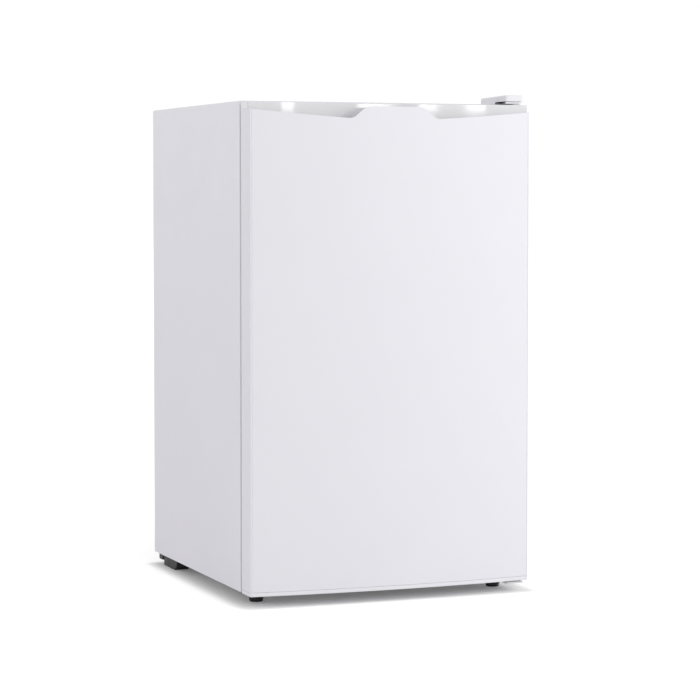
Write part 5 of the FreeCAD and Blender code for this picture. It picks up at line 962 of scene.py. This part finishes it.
def build_ice_box(sizes):
    """The evaporator: a rounded box mouth, its sheet raised along a looped channel by
    0.5 (1 + cos) across the channel's width. The flap, frame and hangers are softened frame pieces."""
    low, high = LOW["evaporator"], HIGH["evaporator"]
    low = low + np.array([0, 0, 2.6 * MM])
    sheet = 1.6 * MM
    radius = 12 * MM

    loop = refined(inset_box(low, high, radius, "xz", 9), 4 * MM)

    def rise(x, y):
        lane = (high[1] - low[1]) / 6
        bend = lane * np.round((y - low[1]) / lane - 0.5) + low[1] + lane / 2
        across = np.abs(y - bend)
        inside = blend01((high[0] - 30 * MM - np.abs(x)) / (6 * MM))
        return np.clip(np.cos(np.clip(across / (5 * MM), 0, 1) * math.pi / 2), 0, 1) ** 2 * inside

    y = np.linspace(low[1], high[1], 100)
    outer, inner = [], []
    for step in y:
        plan = loop(0)
        flat = (np.abs(plan[:, 1] - low[2]) < 0.1 * MM) | (np.abs(plan[:, 1] - high[2]) < 0.1 * MM)
        lift = rise(plan[:, 0], step) * flat * 2.2 * MM
        lift = np.where(plan[:, 1] > (low[2] + high[2]) / 2, lift, -lift)
        outer.append(np.column_stack([plan[:, 0], np.full(len(plan), step), plan[:, 1] + lift]))
    for step in y[::-1]:
        plan = loop(0)
        shrink = np.column_stack([np.clip(plan[:, 0], low[0] + sheet, high[0] - sheet),
                                  np.clip(plan[:, 1], low[2] + sheet, high[2] - sheet)])
        depth = np.full(len(plan), min(step, high[1] - sheet))
        inner.append(np.column_stack([shrink[:, 0], depth, shrink[:, 1]]))
    rings = np.stack(outer[::-1] + inner[::-1])
    piece("ice_box_sheet", [rings], "cabinet", "evaporator_aluminium", "evaporator", angle=45)
    softened("evaporator_hangers", 0.4 * MM)
    softened("ice_frame", 0.9 * MM)
    softened("ice_flap", 0.6 * MM)


def build_drip_tray(sizes):
    """A shallow tray: outline up the outside, over a rolled rim and down inside, with its hanging
    flanges, a bowed grip and shallow ribs across the floor."""
    softened("drip_tray_rails", 0.4 * MM)
    low, high = LOW["drip_tray"], HIGH["drip_tray"]
    grip = 6 * MM
    half = high[0] - 6 * MM
    wall = 2 * MM
    front, back = low[1] + grip, high[1]
    bottom, top = low[2], high[2]
    profile = [(5 * MM, bottom), (1.6 * MM, bottom + 0.3 * MM), (0.7 * MM, bottom + 1.4 * MM),
               (0, top - 1.5 * MM), (0.2 * MM, top - 0.4 * MM), (0.8 * MM, top), (wall - 0.5 * MM, top),
               (wall, top - 0.5 * MM), (wall + 0.6 * MM, bottom + wall + 2 * MM),
               (wall + 2 * MM, bottom + wall + 0.3 * MM), (wall + 4 * MM, bottom + wall)]
    shapes = [stack(inset_box((-half, front), (half, back), 8 * MM, count=9), profile)]
    for side in (-1, 1):
        x0, x1 = sorted((side * (half - 0.5 * MM), side * high[0]))
        shapes.append(block((x0, front + 10 * MM, top - wall), (x1, back - 2 * MM, top), 1 * MM, 0.5 * MM))
    shapes.append(block((-40 * MM, low[1], bottom + 4 * MM), (40 * MM, front + 0.6 * MM, top),
                        4 * MM, 1.2 * MM))
    for i in range(7):
        x = (i - 3) * 44 * MM
        shapes.append(block((x - 1.2 * MM, front + 14 * MM, bottom + wall - 0.3 * MM),
                            (x + 1.2 * MM, back - 14 * MM, bottom + wall + 0.9 * MM), 1.1 * MM, 0.5 * MM))
    piece("melt_tray", shapes, "drip_tray", "tray_plastic", "drip_tray", angle=50)


def build_control(sizes):
    """Control box, knob and lamp. The knob's radius dips at its flutes by a raised cosine; its dial
    is a ring of plain numbers on the box."""
    softened("control_housing", 0.6 * MM)
    softened("thermostat_control", 0.4 * MM)
    softened("lamp_cover", 0.6 * MM)
    softened("lamp_socket", 0.5 * MM)
    low, high = LOW["thermostat_knob"], HIGH["thermostat_knob"]
    centre = CENTRE["thermostat_knob"] * [0, 1, 1]
    face = low[0] + 4 * MM
    radius = (high[1] - low[1]) / 2
    count = sizes.knob_flutes
    flute = lambda angle: 1 - 0.055 * np.clip(np.cos(angle * count) * 1.6 - 0.6, 0, 1)
    back = high[0]
    profile = np.array([(0.3 * MM, face), (radius - 3.4 * MM, face), (radius - 2.4 * MM, face + 0.25 * MM),
                        (radius - 0.5 * MM, face + 1.6 * MM), (radius, face + 3 * MM),
                        (radius, back - 3.2 * MM), (radius, back - 0.4 * MM), (radius - 0.4 * MM, back),
                        (3.4 * MM, back), (3.4 * MM, back - 8 * MM), (0.3 * MM, back - 8 * MM)])
    body = lathe(profile, centre, "x", 216, flute)
    grip = block((low[0], centre[1] - 3 * MM, centre[2] - 14 * MM),
                 (face + 1 * MM, centre[1] + 3 * MM, centre[2] + 14 * MM), 2.6 * MM, 0.9 * MM, "yzx")
    piece("thermostat_dial", [body, grip], "knob", "knob_plastic", "thermostat_knob", angle=32)
    mark = block((low[0] - 0.05 * MM, centre[1] - 0.8 * MM, centre[2] + 6 * MM),
                 (low[0] + 0.3 * MM, centre[1] + 0.8 * MM, centre[2] + 12.6 * MM),
                 0.5 * MM, 0.05 * MM, "yzx")
    piece("dial_pointer", [mark], "knob", "black_plastic", finish="black_plastic")
    wall = LOW["control_housing"][0]
    for i, text in enumerate("012345"):
        turn = math.radians(-DIAL_TURN / 2 + DIAL_TURN * i / 5)
        place = (wall - 0.12 * MM, centre[1] - (radius + 7 * MM) * math.sin(turn),
                 centre[2] + (radius + 7 * MM) * math.cos(turn))
        number(text, place, 6 * MM)
    middle = CENTRE["lamp_bulb"] * [1, 0, 1]
    tip, root = LOW["lamp_bulb"][1], HIGH["lamp_bulb"][1]
    share = np.linspace(0, 1, 24)
    swell = 10.4 * MM * np.sin(np.clip(share * 1.25, 0, 1) * math.pi / 2) ** 0.6
    swell = np.where(share > 0.62, 10.4 * MM - 4.4 * MM * blend01((share - 0.62) / 0.3), swell)
    swell[0] = 0.2 * MM
    glass = np.column_stack([swell, tip + share * (root - tip - 1 * MM)])
    glass = np.concatenate([glass, [(0.2 * MM, root - 0.5 * MM)]])
    piece("lamp_glass", [lathe(glass, middle, "y", 40)], "cabinet", "bulb_glass", "lamp_bulb", angle=60)


def number(text, place, size):
    """A plain number facing -X, made a mesh before its place is applied."""
    curve = bpy.data.curves.new("dial_number", "FONT")
    curve.body, curve.size, curve.extrude = text, size, 0.1 * MM
    curve.align_x, curve.align_y = "CENTER", "CENTER"
    holder = bpy.data.objects.new("dial_number_text", curve)
    bpy.context.scene.collection.objects.link(holder)
    bpy.context.view_layer.update()
    mesh = bpy.data.meshes.new_from_object(holder.evaluated_get(bpy.context.evaluated_depsgraph_get()))
    bpy.data.objects.remove(holder)
    points = np.zeros(len(mesh.vertices) * 3)
    mesh.vertices.foreach_get("co", points)
    points = points.reshape(-1, 3)
    placed = np.stack([-points[:, 2], -points[:, 0], points[:, 1]], 1) + np.asarray(place)
    mesh.vertices.foreach_set("co", placed.ravel())
    mesh.name = "dial_number_" + text
    mesh.materials.clear()
    mesh.materials.append(material("black_plastic"))
    obj = bpy.data.objects.new(mesh.name, mesh)
    bpy.context.scene.collection.objects.link(obj)
    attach(obj, "cabinet")


# ---- cooling machine
def build_compressor(sizes):
    """The pot: a soft-shouldered can turned about its middle, with a raised weld bead, on a pressed
    plate with soft edges; stubs where the pipes meet it."""
    low, high = LOW["compressor"], HIGH["compressor"]
    plate = HIGH["compressor_grommets"][2]
    centre = np.array([*CENTRE["compressor"][:2], plate])
    radius = 64 * MM
    tall = high[2] - plate - 3 * MM
    quarter = np.linspace(0, math.pi / 2, 12)
    bend, slope = 20 * MM, 32 * MM
    foot = [(radius - bend + bend * math.sin(a), bend - bend * math.cos(a)) for a in quarter]
    seam = 0.42 * tall
    bead = [(radius, seam - 1 * MM), (radius + 0.8 * MM, seam - 0.4 * MM)]
    bead += [(radius + 1.4 * MM + 1.1 * MM * math.sin(a), seam + 3.5 * MM - 3.4 * MM * math.cos(a))
             for a in np.linspace(0, math.pi, 9)]
    bead += [(radius + 0.6 * MM, seam + 7.4 * MM), (radius - 0.4 * MM, seam + 8.2 * MM)]
    shoulder = [(radius - 0.4 * MM - slope * (1 - math.cos(a)), tall - slope * (1 - math.sin(a)))
                for a in quarter]
    crown = [(radius - 45 * MM, tall - 0.05 * MM), (6 * MM, tall), (0.3 * MM, tall)]
    profile = np.array([(0.3 * MM, 0)] + foot + bead + shoulder + crown)
    profile[:, 1] += 3 * MM
    shapes = [lathe(profile, centre, count=96),
              block((low[0], low[1], plate), (high[0], high[1], plate + 3 * MM), 8 * MM, 0.8 * MM)]
    pipe_z = centre[2] + 3 * MM
    for height, size in ((100 * MM, 5.6 * MM), (40 * MM, 4.6 * MM)):
        x = centre[0] + radius
        stub = [(0.3 * MM, -6 * MM), (size, -6 * MM), (size, 5 * MM), (size - 0.8 * MM, 7 * MM),
                (0.3 * MM, 7 * MM)]
        shapes.append(lathe(stub, (x, centre[1], pipe_z + height), "x", 24))
    piece("compressor_pot", shapes, "cabinet", "black_paint", "compressor", angle=38)
    softened("relay_cover", 1.2 * MM)
    softened("compressor_platform", 0.4 * MM)
    softened("compressor_bolts", 0.5 * MM)
    softened("compressor_grommets", 0.0)
    softened("mains_inlet", 0.4 * MM)
    low, high = LOW["evaporating_tray"], HIGH["evaporating_tray"]
    profile = [(8 * MM, low[2] + 0.02 * MM), (3 * MM, low[2] + 0.4 * MM), (1.2 * MM, low[2] + 2.4 * MM),
               (0, high[2] - 2 * MM), (0, high[2] - 0.6 * MM), (0.6 * MM, high[2]), (1.6 * MM, high[2]),
               (2 * MM, high[2] - 0.6 * MM), (3 * MM, low[2] + 4 * MM), (4.6 * MM, low[2] + 2.3 * MM),
               (8 * MM, low[2] + 2 * MM)]
    piece("melt_pan", [stack(inset_box(low, high, 12 * MM, count=9), profile)], "cabinet",
          "tray_plastic_black", "evaporating_tray", angle=50)


def build_pipes(sizes):
    """Tubes keep their routes; their faces are merged so that they shade round."""
    for node in ("condenser_tube", "condenser_wires", "compressor_pipes", "capillary_tube", "drain_tube"):
        softened(node, angle=50)
    softened("condenser_brackets", 0.6 * MM)
    low, high = LOW["filter_drier"], HIGH["filter_drier"]
    centre = (*CENTRE["filter_drier"][:2], low[2])
    tall = high[2] - low[2]
    radius = (high[0] - low[0]) / 2
    neck = 2.6 * MM
    rise = np.linspace(0, 1, 12)
    lower = np.column_stack([neck + (radius - neck) * blend01(rise), rise * 15 * MM])
    upper = np.column_stack([lower[::-1, 0], tall - lower[::-1, 1]])
    ring = [(radius, 22 * MM), (radius - 0.7 * MM, 22.8 * MM), (radius - 0.7 * MM, 24.2 * MM),
            (radius, 25 * MM)]
    profile = np.concatenate([[(0.2 * MM, 0)], lower, ring, [(r, tall - h) for r, h in ring[::-1]], upper,
                              [(0.2 * MM, tall)]])
    piece("drier_body", [lathe(profile, centre, count=40)], "cabinet", "copper", "filter_drier", angle=50)


def build_hardware(sizes):
    """Hinge steelwork and rear feet keep their shapes, with softened edges."""
    softened("top_hinge_plate", 0.4 * MM)
    softened("bottom_hinge_bracket", 0.5 * MM)
    softened("hinge_pins", 0.3 * MM)
    softened("rear_feet", 0.8 * MM)
    plate = softened("base_plate").data
    plate.materials.append(material("cabinet_paint"))
    for face in plate.polygons:
        face.material_index = int(face.center.y < FRONT + sizes.steel)
    softened("inner_liner", 0.8 * MM)


def build_kept_nodes(sizes):
    """Finishes for every frame piece whose shape stays as it is."""
    for name, obj in frame["nodes"].items():
        if obj.hide_render:
            continue
        obj.data.materials.clear()
        obj.data.materials.append(material(SLOT_OF[name]))


# ---- stage
def build_stage(stage):
    """Floor, sky, soft lights and camera. The floor's glow is lowered under and round the fridge, a painted
    contact shadow. The sky is darker on the latch side, as by a grey card.
    """
    scene = bpy.context.scene
    scene.view_settings.view_transform = "Standard"
    x, y = np.meshgrid(np.linspace(-14, 14, 29), np.linspace(-6, 26, 33), indexing="ij")
    points = np.stack([x, y, np.zeros_like(x)], -1)
    mesh = bpy.data.meshes.new("studio_floor")
    index = np.arange(x.size).reshape(x.shape)
    quads = np.stack([index[:-1, :-1], index[1:, :-1], index[1:, 1:], index[:-1, 1:]], -1).reshape(-1, 4)
    mesh.from_pydata(points.reshape(-1, 3).tolist(), [], quads.tolist())
    floor = bpy.data.objects.new("studio_floor", mesh)
    scene.collection.objects.link(floor)
    paint = make_finish("floor_paint", tuple(stage.floor), 0.9, tone=0.003, grain=None)
    paint.node_tree.nodes["Principled BSDF"].inputs["Emission Color"].default_value = (1.0, 1.0, 1.0, 1.0)
    tree = paint.node_tree
    # The floor glows for camera rays so that it reads evenly white. Within 3 cm of the fridge's footprint and
    # under it the glow falls to a low level, which paints a dark contact shadow there.
    away = add(tree, "VectorMath", {0: add(tree, "TexCoord").outputs["Object"]}, operation="ABSOLUTE")
    away = add(tree, "VectorMath", {0: away.outputs[0], 1: (HALF, 0.26, 0.0)}, operation="SUBTRACT")
    away = add(tree, "VectorMath", {0: away.outputs[0], 1: (0.0, 0.0, 0.0)}, operation="MAXIMUM")
    away = add(tree, "VectorMath", {0: away.outputs[0]}, operation="LENGTH").outputs["Value"]
    painted_shadow_fade = add(tree, "MapRange", {"Value": away, "From Min": 0.0, "From Max": 0.03, "To Min": 0.07,
                                  "To Max": 0.40}, interpolation_type="SMOOTHSTEP")
    glow = add(tree, "Math", {0: add(tree, "LightPath").outputs["Is Camera Ray"],
                              1: painted_shadow_fade.outputs["Result"], 2: 0.03}, operation="MULTIPLY_ADD")
    tree.links.new(glow.outputs[0], tree.nodes["Principled BSDF"].inputs["Emission Strength"])
    mesh.materials.append(paint)

    world = bpy.data.worlds.new("studio_sky")
    scene.world = world
    world.use_nodes = True
    tree = world.node_tree
    sky = tree.nodes["Background"]
    aim = add(tree, "SeparateXYZ", {"Vector": add(tree, "TexCoord").outputs["Generated"]})
    across = add(tree, "MapRange", {"Value": aim.outputs["X"], "From Min": -1.0, "From Max": 1.0,
                                    "To Min": 1.05, "To Max": 0.94}, interpolation_type="SMOOTHSTEP")
    overhead = add(tree, "MapRange", {"Value": aim.outputs["Z"], "From Min": 0.0, "From Max": 1.0,
                                      "To Min": 1.0, "To Max": 0.68}, interpolation_type="SMOOTHSTEP")
    light = sum_of(tree, "MULTIPLY", across.outputs["Result"], overhead.outputs["Result"])
    seen = add(tree, "LightPath").outputs["Is Camera Ray"]
    strength = add(tree, "Mix", {0: seen, 2: light, 3: 1.02}, data_type="FLOAT")
    tree.links.new(strength.outputs[0], sky.inputs["Strength"])
    sky.inputs["Color"].default_value = (1.0, 1.0, 1.0, 1.0)

    def lamp(name, kind, energy, place, target, mirrored=True, **settings):
        data = bpy.data.lights.new(name, kind)
        data.energy = energy
        for key, value in settings.items():
            setattr(data, key, value)
        obj = bpy.data.objects.new(name, data)
        obj.location = place
        obj.visible_camera = False
        obj.visible_glossy = mirrored
        obj.rotation_euler = (Vector(target) - Vector(place)).to_track_quat("-Z", "Y").to_euler()
        scene.collection.objects.link(obj)

    lamp("key", "AREA", 17.0, (1.75, -1.45, 1.35), (0.1, -0.2, 0.45), mirrored=False,
         shape="RECTANGLE", size=1.2, size_y=1.4)
    lamp("strip", "AREA", 0.95, (0.67, -2.07, 1.05), (-0.15, -0.25, 0.85), shape="RECTANGLE", size=0.15,
         size_y=0.34)

    data = bpy.data.cameras.new("studio_camera")
    data.lens = stage.lens
    data.sensor_width = 36.0
    data.shift_y = stage.shift
    data.clip_end = 100.0
    camera = bpy.data.objects.new("studio_camera", data)
    camera.location = stage.camera
    camera.rotation_euler = (math.pi / 2 + stage.tilt, 0.0, -stage.turn)
    scene.collection.objects.link(camera)
    scene.camera = camera


# ---- operators
class PieceOperator:
    """Shared by the piece operators: runs build with the user's sizes."""
    bl_options = {"REGISTER", "UNDO"}

    def execute(self, context):
        type(self).build(context.scene.fridge_sizes)
        return {"FINISHED"}


class FRIDGE_OT_door_front(PieceOperator, bpy.types.Operator):
    """Bowed steel door front with its scooped edge and pull tab"""
    bl_idname = "fridge.door_front"
    bl_label = "Door front"
    build = build_door_skin


class FRIDGE_OT_door_top(PieceOperator, bpy.types.Operator):
    """Glossy top cap with the full-width finger recess"""
    bl_idname = "fridge.door_top"
    bl_label = "Door top recess"
    build = build_door_top_cap


class FRIDGE_OT_door_bottom(PieceOperator, bpy.types.Operator):
    """Bottom trim of the door"""
    bl_idname = "fridge.door_bottom"
    bl_label = "Door bottom trim"
    build = build_door_bottom_cap


class FRIDGE_OT_door_liner(PieceOperator, bpy.types.Operator):
    """Formed inner panel of the door with its raised rib"""
    bl_idname = "fridge.door_liner"
    bl_label = "Door inner panel"
    build = build_door_liner


class FRIDGE_OT_gasket(PieceOperator, bpy.types.Operator):
    """Bellows gasket round the door"""
    bl_idname = "fridge.gasket"
    bl_label = "Door gasket"
    build = build_gasket


class FRIDGE_OT_racks(PieceOperator, bpy.types.Operator):
    """Three clear door racks"""
    bl_idname = "fridge.racks"
    bl_label = "Door racks"
    build = build_racks


class FRIDGE_OT_bottle_bar(PieceOperator, bpy.types.Operator):
    """Chrome bar over the bottle rack"""
    bl_idname = "fridge.bottle_bar"
    bl_label = "Bottle bar"
    build = build_bottle_bar


class FRIDGE_OT_bushes(PieceOperator, bpy.types.Operator):
    """Plastic hinge bushes in the door caps"""
    bl_idname = "fridge.bushes"
    bl_label = "Hinge bushes"
    build = build_bushes


class FRIDGE_OT_cabinet(PieceOperator, bpy.types.Operator):
    """Folded steel cabinet sheet"""
    bl_idname = "fridge.cabinet"
    bl_label = "Cabinet sheet"
    build = build_outer_shell


class FRIDGE_OT_hinge_cover(PieceOperator, bpy.types.Operator):
    """Cover over the top hinge"""
    bl_idname = "fridge.hinge_cover"
    bl_label = "Hinge cover"
    build = build_hinge_cover


class FRIDGE_OT_screws(PieceOperator, bpy.types.Operator):
    """Cross-recess screws of the hinges and the condenser"""
    bl_idname = "fridge.screws"
    bl_label = "Screws"
    build = build_screws


class FRIDGE_OT_hardware(PieceOperator, bpy.types.Operator):
    """Hinge steelwork, rear feet, floor plate and cabinet liner"""
    bl_idname = "fridge.hardware"
    bl_label = "Hardware and liner"
    build = build_hardware


class FRIDGE_OT_feet(PieceOperator, bpy.types.Operator):
    """Levelling feet with threaded studs"""
    bl_idname = "fridge.feet"
    bl_label = "Levelling feet"
    build = build_feet


class FRIDGE_OT_shelves(PieceOperator, bpy.types.Operator):
    """Glass shelves and their trims"""
    bl_idname = "fridge.shelves"
    bl_label = "Shelves"
    build = build_shelves


class FRIDGE_OT_ice_box(PieceOperator, bpy.types.Operator):
    """Ice box with raised refrigerant channels, frame and flap"""
    bl_idname = "fridge.ice_box"
    bl_label = "Ice box"
    build = build_ice_box


class FRIDGE_OT_drip_tray(PieceOperator, bpy.types.Operator):
    """Drip tray and its rails"""
    bl_idname = "fridge.drip_tray"
    bl_label = "Drip tray"
    build = build_drip_tray


class FRIDGE_OT_control(PieceOperator, bpy.types.Operator):
    """Thermostat box, knob with its dial, and lamp"""
    bl_idname = "fridge.control"
    bl_label = "Thermostat and lamp"
    build = build_control


class FRIDGE_OT_compressor(PieceOperator, bpy.types.Operator):
    """Compressor, its cover, mounts and melt pan"""
    bl_idname = "fridge.compressor"
    bl_label = "Compressor"
    build = build_compressor


class FRIDGE_OT_pipes(PieceOperator, bpy.types.Operator):
    """Condenser, pipes and filter drier"""
    bl_idname = "fridge.pipes"
    bl_label = "Condenser and pipes"
    build = build_pipes


class FRIDGE_OT_kept_nodes(PieceOperator, bpy.types.Operator):
    """Finishes for the frame pieces that stay"""
    bl_idname = "fridge.kept_nodes"
    bl_label = "Kept frame pieces"
    build = build_kept_nodes


class FRIDGE_OT_stage(bpy.types.Operator):
    """Floor, sky, lights and camera"""
    bl_idname = "fridge.stage"
    bl_label = "Studio stage"
    bl_options = {"REGISTER", "UNDO"}

    def execute(self, context):
        build_stage(context.scene.fridge_stage)
        return {"FINISHED"}


OPERATORS = (FRIDGE_OT_stage, FRIDGE_OT_door_front, FRIDGE_OT_door_top, FRIDGE_OT_door_bottom,
             FRIDGE_OT_door_liner, FRIDGE_OT_gasket, FRIDGE_OT_racks, FRIDGE_OT_bottle_bar, FRIDGE_OT_bushes,
             FRIDGE_OT_cabinet, FRIDGE_OT_hinge_cover, FRIDGE_OT_screws, FRIDGE_OT_hardware, FRIDGE_OT_feet,
             FRIDGE_OT_shelves, FRIDGE_OT_ice_box, FRIDGE_OT_drip_tray, FRIDGE_OT_control,
             FRIDGE_OT_compressor, FRIDGE_OT_pipes, FRIDGE_OT_kept_nodes)


class FRIDGE_PT_panel(bpy.types.Panel):
    """Lists the fridge's operators, sizes and colours"""
    bl_idname = "FRIDGE_PT_panel"
    bl_label = "Mini Fridge"
    bl_space_type = "VIEW_3D"
    bl_region_type = "UI"
    bl_category = "Mini Fridge"

    def draw(self, context):
        for operator in OPERATORS:
            self.layout.operator(operator.bl_idname)
        for group in (context.scene.fridge_sizes, context.scene.fridge_colours, context.scene.fridge_stage):
            for name in group.__annotations__:
                self.layout.prop(group, name)


GROUPS = {"fridge_sizes": FridgeSizes, "fridge_colours": FridgeColours, "fridge_stage": FridgeStage}


def register():
    """Registers the sizes, colours, operators and panel."""
    for name, group in GROUPS.items():
        bpy.utils.register_class(group)
        setattr(bpy.types.Scene, name, PointerProperty(type=group))
    for made in (*OPERATORS, FRIDGE_PT_panel):
        bpy.utils.register_class(made)


def unregister():
    """Takes them away again, in reverse."""
    for made in (FRIDGE_PT_panel, *reversed(OPERATORS)):
        bpy.utils.unregister_class(made)
    for name, group in GROUPS.items():
        delattr(bpy.types.Scene, name)
        bpy.utils.unregister_class(group)


def main():
    """Runs every operator in order."""
    register()
    for operator in OPERATORS:
        category, name = operator.bl_idname.split(".")
        getattr(getattr(bpy.ops, category), name)()


if __name__ == "__main__":
    main()
